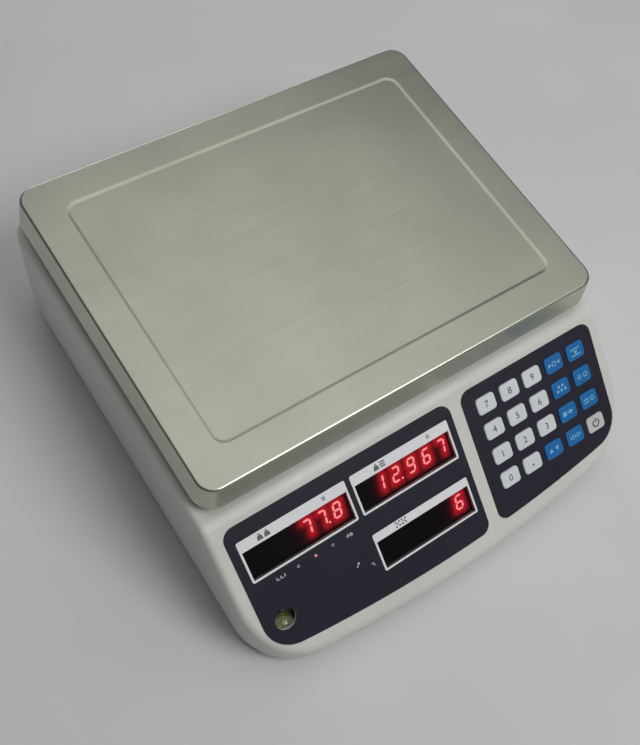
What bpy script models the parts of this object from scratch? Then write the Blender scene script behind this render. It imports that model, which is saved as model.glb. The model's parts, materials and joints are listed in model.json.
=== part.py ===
"""Counting scale: a stainless pan on a load cell, in a plastic case with a sloped display and keypad console.

Metres, +Z up. X runs left to right, the console faces -Y, and the origin is on the table under the centre
of the whole scale. Places on the console are given as across (along X from the middle) and down (along the
slope from the crease where the deck ends), and depth is measured into the console from its surface.
"""

from math import asin, atan2, cos, hypot, pi, radians, sin, sqrt, tan

import bmesh
import bpy
from mathutils import Matrix, Vector

GAP = 0.0003  # left between neighbours that touch on the real scale
OVERCUT = 0.002  # how far a cutter runs past the face that it cuts through

# Case in plan
CASE_HALF_WIDTH = 0.151
CASE_HALF_DEPTH = 0.1635
REAR_CORNER_RADIUS = 0.018
FRONT_CORNER_RADIUS = 0.042
FRONT_BOW_RADIUS = 0.915

# Case in height
WALL = 0.0025
CASE_BOTTOM_Z = 0.010
PARTING_Z = 0.013
LIP_TOP_Z = 0.0165
LIP_WALL = 0.0015
DECK_Z = 0.0894
FLOOR_TOP_Z = CASE_BOTTOM_Z + WALL
EDGE_ROUNDING = 0.004

# Console
CREASE_Y = -0.0736
CONSOLE_TILT = radians(38)
RECESS_DEPTH = 0.0008
OVERLAY_SHEET = 0.0005
PANEL_TOP = 0.0067
PANEL_BOTTOM = 0.102
DISPLAY_PANEL = (-0.1418, 0.0208)
KEYPAD_PANEL = (0.0300, 0.1418)

# Display windows, LED modules and level vial
WINDOW_SIZE = (0.0716, 0.0190)
WINDOW_CENTRES = {
    "led_weight": (-0.0990, 0.0334),
    "led_unit_weight": (-0.0210, 0.0334),
    "led_count": (-0.0210, 0.0738),
}
LED_SIZE = (0.0710, 0.0184, 0.0080)
LED_DEPTH = 0.0045
BOARD_SHEET = 0.0016
BOARD_POSTS = ((-0.130, 0.020), (0.010, 0.020), (-0.130, 0.0475), (-0.050, 0.054), (0.010, 0.054))
BOARD_POST_RADIUS = 0.0025
VIAL_PLACE = (-0.1273, 0.0745)
VIAL_HOLE_RADIUS = 0.0070
VIAL_RADIUS = 0.0062
VIAL_HEIGHT = 0.0080
VIAL_BELOW_HOLE = 0.0075

# Keys
KEY_SIZE = (0.0149, 0.0115)
KEY_CORNER_RADIUS = 0.0025
KEY_PITCH = (0.0195, 0.0183)
FIRST_KEY = (0.0472, 0.0213)
KEY_PROUD = 0.0010
KEY_BELOW = 0.0020
KEY_BOARD_DEPTH = 0.0031
KEY_ROWS = (
    ("key_7", "key_8", "key_9", "key_function_1", "key_function_2"),
    ("key_4", "key_5", "key_6", "key_function_3", "key_function_4"),
    ("key_1", "key_2", "key_3", "key_function_5", "key_function_6"),
    ("key_0", "key_point", "key_function_7", "key_function_8", "key_power"),
)

# Pan
PAN_SIZE = (0.294, 0.230)
PAN_CENTRE_Y = 0.0455
PAN_TOP_Z = 0.118
PAN_SKIRT = 0.020
PAN_SHEET = 0.001
PAN_SKIRT_DRAFT = 0.003
PAN_EDGE_RADIUS = 0.002
PAN_CORNER_RADIUS = 0.014
DISH_SIZE = (0.2420, 0.1770)  # the flat that is pressed down in the pan's middle
DISH_DEPTH = 0.0008
DISH_SLOPE = 0.003
DISH_CORNER_RADIUS = 0.006

# Weighing mechanism
CHASSIS_SIZE = (0.156, 0.059, 0.003)
CHASSIS_Z = 0.020
CHASSIS_STANDOFF_RADIUS = 0.005
CELL_SIZE = (0.130, 0.030, 0.022)
CELL_Z = 0.0273
CELL_END = 0.032
CELL_WEB_HOLE = (0.0072, 0.014)  # radius, and distance of each hole from the middle
CELL_SCREW_PLACES = (0.042, 0.058)  # along X from the middle
CELL_SCREW_RADIUS = 0.003
CELL_HOLE_RADIUS = 0.0033
CELL_SCREW_HEAD = (0.0050, 0.0055)  # radius and height
CELL_SCREW_REACH = 0.0210
CELL_THREAD_DEPTH = 0.0160
SPIDER_Z = 0.064
SPIDER_THICKNESS = 0.006
SPIDER_ARM_WIDTH = 0.020
FREE_SCREW_TOP_Z = SPIDER_Z - 0.002
PAN_REST_REACH = (0.105, 0.075)
PAN_REST_PLACES = tuple(
    (side_x * PAN_REST_REACH[0], PAN_CENTRE_Y + side_y * PAN_REST_REACH[1])
    for side_x in (-1, 1)
    for side_y in (-1, 1)
)
POST_RADIUS = 0.007
POST_TOP_Z = 0.100
BUMPER_RADIUS = 0.0095
BUMPER_BOTTOM_Z = 0.094
DECK_HOLE_RADIUS = 0.012

# Power and control
BATTERY_SIZE = (0.101, 0.070, 0.047)
BATTERY_CENTRE = (-0.0615, 0.115)
BAY_FLOOR_Z = 0.0145
DOOR_SIZE = (0.110, 0.078, 0.002)
DOOR_TRAVEL = 0.010
BAY_WALL = 0.0045
MAIN_BOARD_SIZE = (0.100, 0.060)
MAIN_BOARD_CENTRE = (0.072, -0.032)
MAIN_BOARD_Z = 0.022
BOARD_STANDOFF_RADIUS = 0.0035
TRANSFORMER_CENTRE = (0.048, 0.119)
TRANSFORMER_CORE = (0.048, 0.030, 0.040)
INLET_PLACE = (0.100, 0.036)
INLET_SIZE = (0.022, 0.012)
INLET_BODY_DEPTH = 0.020
INLET_FLANGE = (0.030, 0.016, 0.002)
SOCKET_SIZE = (0.0170, 0.0086, 0.0125)
PIN_SPREAD = 0.0043
PIN_RADIUS = 0.0012

# Feet and case screws
FOOT_PLACES = {
    "front_left": (-0.118, -0.118),
    "front_right": (0.118, -0.118),
    "rear_left": (-0.128, 0.140),
    "rear_right": (0.128, 0.140),
}
FOOT_PAD_RADIUS = 0.013
FOOT_PAD_HEIGHT = 0.0055
FOOT_SOCKET_RADIUS = 0.0053
FOOT_SOCKET_Z = 0.0025
FOOT_THREAD_RADIUS = 0.003
FOOT_POCKET_RADIUS = 0.0075
FOOT_BOSS_RADIUS = 0.010
FOOT_BOSS_TOP_Z = 0.030
FOOT_POCKET_TOP_Z = 0.0145
HEXAGON_RADIUS = 0.0058
HEXAGON_HEIGHT = 0.0035
STUD_TOP_Z = 0.0360
CASE_SCREW_PLACES = tuple((x, y) for x in (-0.138, 0.138) for y in (-0.060, 0.060))
CASE_SCREW_BOSS_Z = 0.022
CASE_SCREW_BOSS_RADIUS = 0.006
CASE_SCREW_COLUMN_RADIUS = 0.0045
CASE_SCREW_THREAD_RADIUS = 0.0017
CASE_SCREW_HEAD_RADIUS = 0.0036
CASE_SCREW_HEAD_Z = 0.0112
CASE_SCREW_LENGTH = 0.0310


# Outlines ---------------------------------------------------------------------------------------


def arc(centre, radius, start, end, steps):
    """Points on an arc, both ends included. Angles in radians, counter-clockwise."""
    angles = [start + (end - start) * step / steps for step in range(steps + 1)]
    return [(centre[0] + radius * cos(angle), centre[1] + radius * sin(angle)) for angle in angles]


def circle(radius, sides, centre=(0.0, 0.0)):
    return arc(centre, radius, 0, 2 * pi, sides)[:-1]


def rectangle(width, depth, centre=(0.0, 0.0)):
    x, y = centre
    half_width, half_depth = width / 2, depth / 2
    return [
        (x - half_width, y - half_depth),
        (x + half_width, y - half_depth),
        (x + half_width, y + half_depth),
        (x - half_width, y + half_depth),
    ]


def rounded_rectangle(width, depth, radius, steps=3, centre=(0.0, 0.0)):
    corner_x, corner_y = width / 2 - radius, depth / 2 - radius
    points = []
    for turn, (side_x, side_y) in enumerate(((1, 1), (-1, 1), (-1, -1), (1, -1))):
        corner = (centre[0] + side_x * corner_x, centre[1] + side_y * corner_y)
        points += arc(corner, radius, turn * pi / 2, (turn + 1) * pi / 2, steps)
    return points


def rounded_polygon(corners, steps):
    """A counter-clockwise outline from (x, y, radius) corners, each filleted to its radius."""
    points = []
    for index, (x, y, radius) in enumerate(corners):
        here = Vector((x, y))
        if radius == 0:
            points.append((x, y))
            continue
        before = (Vector(corners[index - 1][:2]) - here).normalized()
        after = (Vector(corners[(index + 1) % len(corners)][:2]) - here).normalized()
        half_angle = before.angle(after) / 2
        centre = here + (before + after).normalized() * radius / sin(half_angle)
        first = here + before * radius / tan(half_angle) - centre
        start = atan2(first.y, first.x)
        points += arc(centre, radius, start, start + pi - 2 * half_angle, steps)
    return points


def case_outline(inset=0.0, corner_steps=7, bow_steps=6):
    """The case in plan: straight sides, a bowed front and four round corners, moved in by inset."""
    bow_centre = (0.0, FRONT_BOW_RADIUS - CASE_HALF_DEPTH)
    front_x = CASE_HALF_WIDTH - FRONT_CORNER_RADIUS
    reach = FRONT_BOW_RADIUS - FRONT_CORNER_RADIUS
    front_y = bow_centre[1] - sqrt(reach**2 - front_x**2)
    swing = asin(front_x / reach)
    front_radius = FRONT_CORNER_RADIUS - inset
    rear_radius = REAR_CORNER_RADIUS - inset
    rear_x = CASE_HALF_WIDTH - REAR_CORNER_RADIUS
    rear_y = CASE_HALF_DEPTH - REAR_CORNER_RADIUS
    front = 1.5 * pi
    points = arc((-front_x, front_y), front_radius, pi, front - swing, corner_steps)
    points += arc(bow_centre, FRONT_BOW_RADIUS - inset, front - swing, front + swing, bow_steps)[1:-1]
    points += arc((front_x, front_y), front_radius, front + swing, 2 * pi, corner_steps)
    points += arc((rear_x, rear_y), rear_radius, 0, pi / 2, corner_steps)
    points += arc((-rear_x, rear_y), rear_radius, pi / 2, pi, corner_steps)
    return points


def panel_bottom(across):
    """How far down the slope a panel's bowed lower edge lies."""
    return PANEL_BOTTOM - across**2 / (2 * FRONT_BOW_RADIUS)


def panel_outline(ends, margin=0.0):
    """A console panel between two ends, with its outer lower corner rounder than the others."""
    left, right = ends[0] - margin, ends[1] + margin
    top = PANEL_TOP - margin
    outer_radius, inner_radius, upper_radius = 0.021, 0.0075, 0.0080
    on_left = abs(left) > abs(right)
    left_radius, right_radius = (outer_radius, inner_radius) if on_left else (inner_radius, outer_radius)
    corners = [(left, -panel_bottom(left) - margin, left_radius)]
    start, end = left + left_radius * 1.3, right - right_radius * 1.3
    for step in range(5):
        across = start + (end - start) * step / 4
        corners.append((across, -panel_bottom(across) - margin, 0))
    corners.append((right, -panel_bottom(right) - margin, right_radius))
    corners.append((right, -top, upper_radius))
    corners.append((left, -top, upper_radius))
    return rounded_polygon(corners, steps=6)


# Mesh building ----------------------------------------------------------------------------------


def loft(bm, loops):
    """A closed skin through loops of equal length, with a face across the first and the last."""
    rings = [[bm.verts.new(point) for point in loop] for loop in loops]
    count = len(rings[0])
    for lower, upper in zip(rings, rings[1:]):
        for i in range(count):
            j = (i + 1) % count
            bm.faces.new((lower[i], lower[j], upper[j], upper[i]))
    bm.faces.new(rings[0])
    bm.faces.new(rings[-1])


def level(outline, z):
    return [(x, y, z) for x, y in outline]


def add_prism(bm, outline, bottom, top):
    loft(bm, [level(outline, bottom), level(outline, top)])


def add_block(bm, centre, size, bottom, top):
    add_prism(bm, rectangle(size[0], size[1], centre), bottom, top)


def add_rod(bm, centre, radius, bottom, top, sides=16):
    add_prism(bm, circle(radius, sides, centre), bottom, top)


def add_turned(bm, profile, sides, centre=(0.0, 0.0)):
    """A turned piece from (radius, height) points, first at the bottom."""
    loft(bm, [level(circle(radius, sides, centre), height) for radius, height in profile])


def console_place(across, down, depth=0.0):
    """A point on the console, in the console frame's own axes."""
    return (across, -down, -depth)


def tilted(bm):
    """Turns geometry built in the console frame's axes into world axes."""
    bmesh.ops.transform(bm, matrix=CONSOLE_TO_WORLD, verts=bm.verts)
    return bm


CONSOLE_TO_WORLD = Matrix.Translation((0, CREASE_Y, DECK_Z)) @ Matrix.Rotation(CONSOLE_TILT, 4, "X")
CONSOLE_NORMAL = Vector((0, -sin(CONSOLE_TILT), cos(CONSOLE_TILT)))


def cut_at_console(bm, depth):
    """Removes all that lies above the console's slope, sunk by depth, and closes the cut."""
    bmesh.ops.bisect_plane(
        bm,
        geom=bm.verts[:] + bm.edges[:] + bm.faces[:],
        plane_co=Vector((0, CREASE_Y, DECK_Z)) - CONSOLE_NORMAL * depth,
        plane_no=CONSOLE_NORMAL,
        clear_outer=True,
    )
    bmesh.ops.holes_fill(bm, edges=[edge for edge in bm.edges if edge.is_boundary])


def round_edges(bm, width, segments, lowest):
    """Rounds every edge sharper than 25 degrees whose middle lies above a height."""
    bmesh.ops.recalc_face_normals(bm, faces=bm.faces)
    sharp = [
        edge
        for edge in bm.edges
        if edge.calc_face_angle(0) > radians(25) and (edge.verts[0].co.z + edge.verts[1].co.z) / 2 > lowest
    ]
    bmesh.ops.bevel(
        bm, geom=sharp, offset=width, offset_type="OFFSET", segments=segments, profile=0.5, affect="EDGES"
    )


# Objects ----------------------------------------------------------------------------------------


def clear_scene():
    for obj in list(bpy.data.objects):
        bpy.data.objects.remove(obj)


def make_material(name, colour, roughness, metallic=0.0):
    material = bpy.data.materials.new(name)
    material.use_nodes = True
    shader = material.node_tree.nodes["Principled BSDF"]
    shader.inputs["Base Color"].default_value = (*colour, 1.0)
    shader.inputs["Roughness"].default_value = roughness
    shader.inputs["Metallic"].default_value = metallic
    return material


def make_object(name, bm, material=None, location=(0, 0, 0), parent=None, smooth=False):
    bmesh.ops.recalc_face_normals(bm, faces=bm.faces)
    mesh = bpy.data.meshes.new(name)
    bm.to_mesh(mesh)
    bm.free()
    if smooth:
        mesh.shade_smooth()
        mesh.set_sharp_from_angle(angle=radians(35))
    if material:
        mesh.materials.append(material)
    obj = bpy.data.objects.new(name, mesh)
    bpy.context.scene.collection.objects.link(obj)
    obj.location = location
    obj.parent = parent
    return obj


def combine(obj, name, bm, operation):
    """Adds or cuts the shape in bm, kept as a hidden helper object."""
    helper = make_object(f"{obj.name}_{name}", bm)
    helper.hide_render = True
    helper.display_type = "WIRE"
    modifier = obj.modifiers.new(name, "BOOLEAN")
    modifier.operation = operation
    modifier.object = helper
    modifier.solver = "EXACT"


def join_shape(obj, name, bm):
    combine(obj, name, bm, "UNION")


def cut_shape(obj, name, bm):
    combine(obj, name, bm, "DIFFERENCE")


# Case -------------------------------------------------------------------------------------------


def make_top_case(materials):
    bottom = PARTING_Z + GAP
    bm = bmesh.new()
    add_prism(bm, case_outline(), bottom, DECK_Z)
    cut_at_console(bm, 0)
    round_edges(bm, EDGE_ROUNDING, 3, lowest=bottom + 0.002)
    case = make_object("top_case", bm, materials["case"], smooth=True)

    cavity = bmesh.new()
    add_prism(cavity, case_outline(WALL), bottom - OVERCUT, DECK_Z - WALL)
    cut_at_console(cavity, WALL)
    cut_shape(case, "cavity", cavity)

    bosses = bmesh.new()
    for place in CASE_SCREW_PLACES:
        add_rod(bosses, place, CASE_SCREW_COLUMN_RADIUS, CASE_SCREW_BOSS_Z + GAP, DECK_Z - WALL / 2, sides=12)
    join_shape(case, "screw_bosses", bosses)

    posts = bmesh.new()
    for across, down in BOARD_POSTS:
        add_rod(posts, (across, -down), BOARD_POST_RADIUS, -(LED_DEPTH + LED_SIZE[2]), -WALL / 2, sides=10)
    join_shape(case, "board_posts", tilted(posts))

    recesses = bmesh.new()
    for ends in (DISPLAY_PANEL, KEYPAD_PANEL):
        add_prism(recesses, panel_outline(ends, margin=GAP), -RECESS_DEPTH, 0.003)
    cut_shape(case, "recesses", tilted(recesses))

    openings = bmesh.new()
    for across, down in WINDOW_CENTRES.values():
        add_block(openings, (across, -down), WINDOW_SIZE, -2 * WALL, WALL)
    for place in key_places().values():
        add_prism(openings, key_hole(place), -2 * WALL, WALL)
    add_rod(openings, (VIAL_PLACE[0], -VIAL_PLACE[1]), VIAL_HOLE_RADIUS, -2 * WALL, WALL, sides=20)
    cut_shape(case, "console_openings", tilted(openings))

    holes = bmesh.new()
    for place in PAN_REST_PLACES:
        add_rod(holes, place, DECK_HOLE_RADIUS, DECK_Z - 2 * WALL, DECK_Z + WALL, sides=20)
    for place in CASE_SCREW_PLACES:
        bottom, top = CASE_SCREW_BOSS_Z - 0.001, CASE_SCREW_HEAD_Z + CASE_SCREW_LENGTH + 0.002
        add_rod(holes, place, CASE_SCREW_THREAD_RADIUS + GAP, bottom, top, sides=10)
    inlet_x, inlet_z = INLET_PLACE
    opening = (INLET_SIZE[0] + 2 * GAP, 4 * WALL)
    half_height = INLET_SIZE[1] / 2 + GAP
    add_block(holes, (inlet_x, CASE_HALF_DEPTH), opening, inlet_z - half_height, inlet_z + half_height)
    cut_shape(case, "holes", holes)


def make_bottom_case(materials):
    lip = WALL + GAP
    bm = bmesh.new()
    loft(
        bm,
        [
            level(case_outline(0.001), CASE_BOTTOM_Z),
            level(case_outline(), CASE_BOTTOM_Z + 0.001),
            level(case_outline(), PARTING_Z),
            level(case_outline(lip), PARTING_Z),
            level(case_outline(lip), LIP_TOP_Z),
            level(case_outline(lip + LIP_WALL), LIP_TOP_Z),
            level(case_outline(lip + LIP_WALL), FLOOR_TOP_Z),
        ],
    )
    case = make_object("bottom_case", bm, materials["case"], smooth=True)
    inside = FLOOR_TOP_Z - WALL / 2

    bay = bmesh.new()
    bay_centre = (BATTERY_CENTRE[0], BATTERY_CENTRE[1] - DOOR_TRAVEL / 2)
    bay_size = (DOOR_SIZE[0] + 2 * BAY_WALL, DOOR_SIZE[1] + DOOR_TRAVEL + 2 * BAY_WALL)
    add_block(bay, bay_centre, bay_size, inside, BAY_FLOOR_Z)
    join_shape(case, "battery_bay", bay)

    bosses = bmesh.new()
    for place in FOOT_PLACES.values():
        add_rod(bosses, place, FOOT_BOSS_RADIUS, inside, FOOT_BOSS_TOP_Z, sides=18)
    for place in CASE_SCREW_PLACES:
        add_rod(bosses, place, CASE_SCREW_BOSS_RADIUS, inside, CASE_SCREW_BOSS_Z, sides=14)
    for place in chassis_corners():
        add_rod(bosses, place, CHASSIS_STANDOFF_RADIUS, inside, CHASSIS_Z - GAP, sides=10)
    for place in main_board_corners():
        add_rod(bosses, place, BOARD_STANDOFF_RADIUS, inside, MAIN_BOARD_Z - GAP, sides=10)
    vial = vial_centre()
    add_rod(bosses, vial[:2], VIAL_RADIUS - 0.0012, inside, vial[2] - GAP, sides=14)
    join_shape(case, "bosses", bosses)

    holes = bmesh.new()
    below_case = CASE_BOTTOM_Z - OVERCUT
    bay_opening = (BATTERY_SIZE[0] + 0.004, BATTERY_SIZE[1] + 0.002)
    add_block(holes, BATTERY_CENTRE, bay_opening, below_case, BAY_FLOOR_Z + OVERCUT)
    foot_hole = [
        (FOOT_POCKET_RADIUS, below_case),
        (FOOT_POCKET_RADIUS, FOOT_POCKET_TOP_Z),
        (FOOT_THREAD_RADIUS + GAP, FOOT_POCKET_TOP_Z),
        (FOOT_THREAD_RADIUS + GAP, FOOT_BOSS_TOP_Z + OVERCUT),
    ]
    for place in FOOT_PLACES.values():
        add_turned(holes, foot_hole, 16, place)
    counterbore_radius, shank_radius = CASE_SCREW_HEAD_RADIUS + 2 * GAP, CASE_SCREW_THREAD_RADIUS + 2 * GAP
    counterbore_top = CASE_SCREW_HEAD_Z + 0.0030
    screw_hole = [
        (counterbore_radius, below_case),
        (counterbore_radius, counterbore_top),
        (shank_radius, counterbore_top),
        (shank_radius, CASE_SCREW_BOSS_Z + OVERCUT),
    ]
    for place in CASE_SCREW_PLACES:
        add_turned(holes, screw_hole, 12, place)
    cut_shape(case, "holes", holes)

    recess = bmesh.new()
    recess_size = (DOOR_SIZE[0] + 2 * GAP, DOOR_SIZE[1] + DOOR_TRAVEL + 2 * GAP)
    add_block(recess, bay_centre, recess_size, below_case, CASE_BOTTOM_Z + DOOR_SIZE[2] + GAP)
    cut_shape(case, "door_recess", recess)


def make_battery_door(materials):
    """A flat door that slides towards the console, with grip grooves near its rear edge."""
    bm = bmesh.new()
    add_prism(bm, rounded_rectangle(DOOR_SIZE[0], DOOR_SIZE[1], 0.001, 1), 0, DOOR_SIZE[2])
    door = make_object("battery_door", bm, materials["case"], (*BATTERY_CENTRE, CASE_BOTTOM_Z))
    grooves = bmesh.new()
    for step in range(4):
        place = (BATTERY_CENTRE[0], BATTERY_CENTRE[1] + 0.018 + 0.004 * step)
        add_block(grooves, place, (0.026, 0.0016), CASE_BOTTOM_Z - 0.001, CASE_BOTTOM_Z + 0.0008)
    cut_shape(door, "grip", grooves)


def make_case_screws(materials):
    profile = [
        (CASE_SCREW_HEAD_RADIUS, 0),
        (CASE_SCREW_HEAD_RADIUS, 0.0020),
        (CASE_SCREW_THREAD_RADIUS, 0.0026),
        (CASE_SCREW_THREAD_RADIUS, CASE_SCREW_LENGTH - 0.0010),
        (0.0006, CASE_SCREW_LENGTH),
    ]
    for number, place in enumerate(CASE_SCREW_PLACES, start=1):
        bm = bmesh.new()
        add_turned(bm, profile, 12)
        make_object(f"case_screw_{number}", bm, materials["steel"], (*place, CASE_SCREW_HEAD_Z), smooth=True)


def make_feet(materials):
    """Each foot is a rubber pad and a threaded stud whose round end turns in the pad."""
    socket_floor = FOOT_SOCKET_Z + GAP
    for name, place in FOOT_PLACES.items():
        pad = bmesh.new()
        profile = [
            (FOOT_PAD_RADIUS - 0.001, 0),
            (FOOT_PAD_RADIUS, 0.001),
            (FOOT_PAD_RADIUS, FOOT_PAD_HEIGHT - 0.001),
            (FOOT_PAD_RADIUS - 0.0012, FOOT_PAD_HEIGHT),
            (FOOT_SOCKET_RADIUS, FOOT_PAD_HEIGHT),
            (FOOT_SOCKET_RADIUS, FOOT_SOCKET_Z),
        ]
        add_turned(pad, profile, 20)
        make_object(f"foot_pad_{name}", pad, materials["rubber"], (*place, 0), smooth=True)
        stud = bmesh.new()
        hexagon_bottom = FOOT_PAD_HEIGHT + GAP
        hexagon_top = hexagon_bottom + HEXAGON_HEIGHT
        loops = [
            level(circle(FOOT_SOCKET_RADIUS - GAP, 12), socket_floor),
            level(circle(FOOT_SOCKET_RADIUS - GAP, 12), hexagon_bottom),
            level(hexagon(HEXAGON_RADIUS), hexagon_bottom),
            level(hexagon(HEXAGON_RADIUS), hexagon_top),
            level(circle(FOOT_THREAD_RADIUS, 12), hexagon_top),
            level(circle(FOOT_THREAD_RADIUS, 12), STUD_TOP_Z - 0.0010),
            level(circle(FOOT_THREAD_RADIUS - 0.0008, 12), STUD_TOP_Z),
        ]
        loft(stud, loops)
        make_object(f"foot_screw_{name}", stud, materials["steel"], (*place, 0), smooth=True)


def hexagon(radius):
    """A hexagon with a point at the middle of each flat, so that it lofts to a 12-sided circle."""
    reaches = [radius, radius * cos(pi / 6)] * 6
    angles = [pi * step / 6 for step in range(12)]
    return [(reach * cos(angle), reach * sin(angle)) for reach, angle in zip(reaches, angles)]


# Console ----------------------------------------------------------------------------------------


def key_places():
    places = {}
    for row, names in enumerate(KEY_ROWS):
        for column, name in enumerate(names):
            places[name] = (FIRST_KEY[0] + column * KEY_PITCH[0], FIRST_KEY[1] + row * KEY_PITCH[1])
    return places


def key_hole(place):
    """The outline of a key's opening in the case and the overlay."""
    across, down = place
    width, height = KEY_SIZE[0] + 2 * GAP, KEY_SIZE[1] + 2 * GAP
    return rounded_rectangle(width, height, KEY_CORNER_RADIUS, 2, (across, -down))


def make_console_frame():
    frame = bpy.data.objects.new("console_frame", None)
    bpy.context.scene.collection.objects.link(frame)
    frame.location = (0, CREASE_Y, DECK_Z)
    frame.rotation_euler = (CONSOLE_TILT, 0, 0)
    return frame


def make_overlays(materials, frame):
    bm = bmesh.new()
    add_prism(bm, panel_outline(DISPLAY_PANEL), -OVERLAY_SHEET, 0)
    display = make_object("display_overlay", bm, materials["overlay"], parent=frame)
    hole = bmesh.new()
    vial_hole = (VIAL_PLACE[0], -VIAL_PLACE[1])
    add_rod(hole, vial_hole, VIAL_HOLE_RADIUS, -2 * OVERLAY_SHEET, 2 * OVERLAY_SHEET, sides=20)
    cut_shape(display, "vial_hole", tilted(hole))

    bm = bmesh.new()
    add_prism(bm, panel_outline(KEYPAD_PANEL), -OVERLAY_SHEET, 0)
    keypad = make_object("keypad_overlay", bm, materials["overlay"], parent=frame)
    holes = bmesh.new()
    for place in key_places().values():
        add_prism(holes, key_hole(place), -2 * OVERLAY_SHEET, 2 * OVERLAY_SHEET)
    cut_shape(keypad, "key_holes", tilted(holes))


def make_keys(materials, frame):
    for name, (across, down) in key_places().items():
        bm = bmesh.new()
        full = rounded_rectangle(*KEY_SIZE, KEY_CORNER_RADIUS, 2)
        face = rounded_rectangle(KEY_SIZE[0] - 0.001, KEY_SIZE[1] - 0.001, KEY_CORNER_RADIUS - 0.0005, 2)
        loft(bm, [level(full, -KEY_BELOW), level(full, KEY_PROUD - 0.0004), level(face, KEY_PROUD)])
        kind = "key_blue" if "function" in name else "key_grey" if "power" in name else "key_white"
        make_object(name, bm, materials[kind], console_place(across, down), frame)


def make_boards_and_modules(materials, frame):
    for name, (across, down) in WINDOW_CENTRES.items():
        bm = bmesh.new()
        add_block(bm, (0, 0), LED_SIZE, -LED_SIZE[2], 0)
        make_object(name, bm, materials["led"], console_place(across, down, LED_DEPTH), frame)

    board_depth = LED_DEPTH + LED_SIZE[2] + GAP
    board = bmesh.new()
    left, middle, right = -0.137, -0.060, 0.017
    top, step, bottom = 0.0165, 0.0510, 0.0870
    outline = [
        (left, -step),
        (middle, -step),
        (middle, -bottom),
        (right, -bottom),
        (right, -top),
        (left, -top),
    ]
    add_prism(board, outline, -BOARD_SHEET, 0)
    make_object("display_board", board, materials["board"], (0, 0, -board_depth), frame)

    keys = bmesh.new()
    middle_across = FIRST_KEY[0] + 2 * KEY_PITCH[0]
    middle_down = FIRST_KEY[1] + 1.5 * KEY_PITCH[1]
    size = (5 * KEY_PITCH[0] + 0.003, 4 * KEY_PITCH[1])
    add_block(keys, (0, 0), size, -BOARD_SHEET, 0)
    place = console_place(middle_across, middle_down, KEY_BOARD_DEPTH)
    make_object("keypad_board", keys, materials["board"], place, frame)


def vial_centre():
    """The middle of the vial's underside, straight below the hole in the console."""
    hole = CONSOLE_TO_WORLD @ Vector(console_place(*VIAL_PLACE))
    return (hole.x, hole.y, hole.z - VIAL_BELOW_HOLE - VIAL_HEIGHT)


def make_level_vial(materials):
    bm = bmesh.new()
    profile = [
        (VIAL_RADIUS, 0),
        (VIAL_RADIUS, VIAL_HEIGHT - 0.0006),
        (VIAL_RADIUS - 0.0006, VIAL_HEIGHT),
    ]
    add_turned(bm, profile, 20)
    make_object("level_vial", bm, materials["vial"], vial_centre(), smooth=True)


# Weighing mechanism -----------------------------------------------------------------------------


def chassis_corners():
    x, y = CHASSIS_SIZE[0] / 2 - 0.007, CHASSIS_SIZE[1] / 2 - 0.006
    return [(side_x * x, PAN_CENTRE_Y + side_y * y) for side_x in (-1, 1) for side_y in (-1, 1)]


def cell_screw_places(side):
    return [(side * x, PAN_CENTRE_Y) for x in CELL_SCREW_PLACES]


def make_chassis(materials):
    bm = bmesh.new()
    add_block(bm, (0, PAN_CENTRE_Y), CHASSIS_SIZE, CHASSIS_Z, CHASSIS_Z + CHASSIS_SIZE[2])
    chassis = make_object("chassis_plate", bm, materials["plated_steel"])
    boss = bmesh.new()
    boss_x = -(CELL_SIZE[0] - CELL_END) / 2
    add_block(boss, (boss_x, PAN_CENTRE_Y), (CELL_END, CELL_SIZE[1]), CHASSIS_Z + 0.001, CELL_Z - GAP)
    join_shape(chassis, "cell_boss", boss)
    holes = bmesh.new()
    for place in cell_screw_places(-1):
        add_rod(holes, place, CELL_HOLE_RADIUS, CHASSIS_Z - OVERCUT, CELL_Z + OVERCUT, sides=14)
    cut_shape(chassis, "screw_holes", holes)


def make_load_cell(materials):
    """A single-point bar, fixed at its left end and free at its right, weakened by a double hole."""
    top = CELL_Z + CELL_SIZE[2]
    bm = bmesh.new()
    add_block(bm, (0, PAN_CENTRE_Y), CELL_SIZE, CELL_Z, top)
    cell = make_object("load_cell", bm, materials["aluminium"])

    web = bmesh.new()
    radius, spread = CELL_WEB_HOLE
    ends = arc((spread, 0), radius, -pi / 2, pi / 2, 8) + arc((-spread, 0), radius, pi / 2, 1.5 * pi, 8)
    add_prism(web, ends, -CELL_SIZE[1], CELL_SIZE[1])
    cell_middle = Matrix.Translation((0, PAN_CENTRE_Y, CELL_Z + CELL_SIZE[2] / 2))
    bmesh.ops.transform(web, matrix=cell_middle @ Matrix.Rotation(pi / 2, 4, "X"), verts=web.verts)
    cut_shape(cell, "double_hole", web)

    holes = bmesh.new()
    for place in cell_screw_places(-1):
        add_rod(holes, place, CELL_HOLE_RADIUS, CELL_Z - OVERCUT, CELL_Z + CELL_THREAD_DEPTH, sides=14)
    for place in cell_screw_places(1):
        add_rod(holes, place, CELL_HOLE_RADIUS, top - CELL_THREAD_DEPTH, top + OVERCUT, sides=14)
    cut_shape(cell, "screw_holes", holes)


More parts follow.
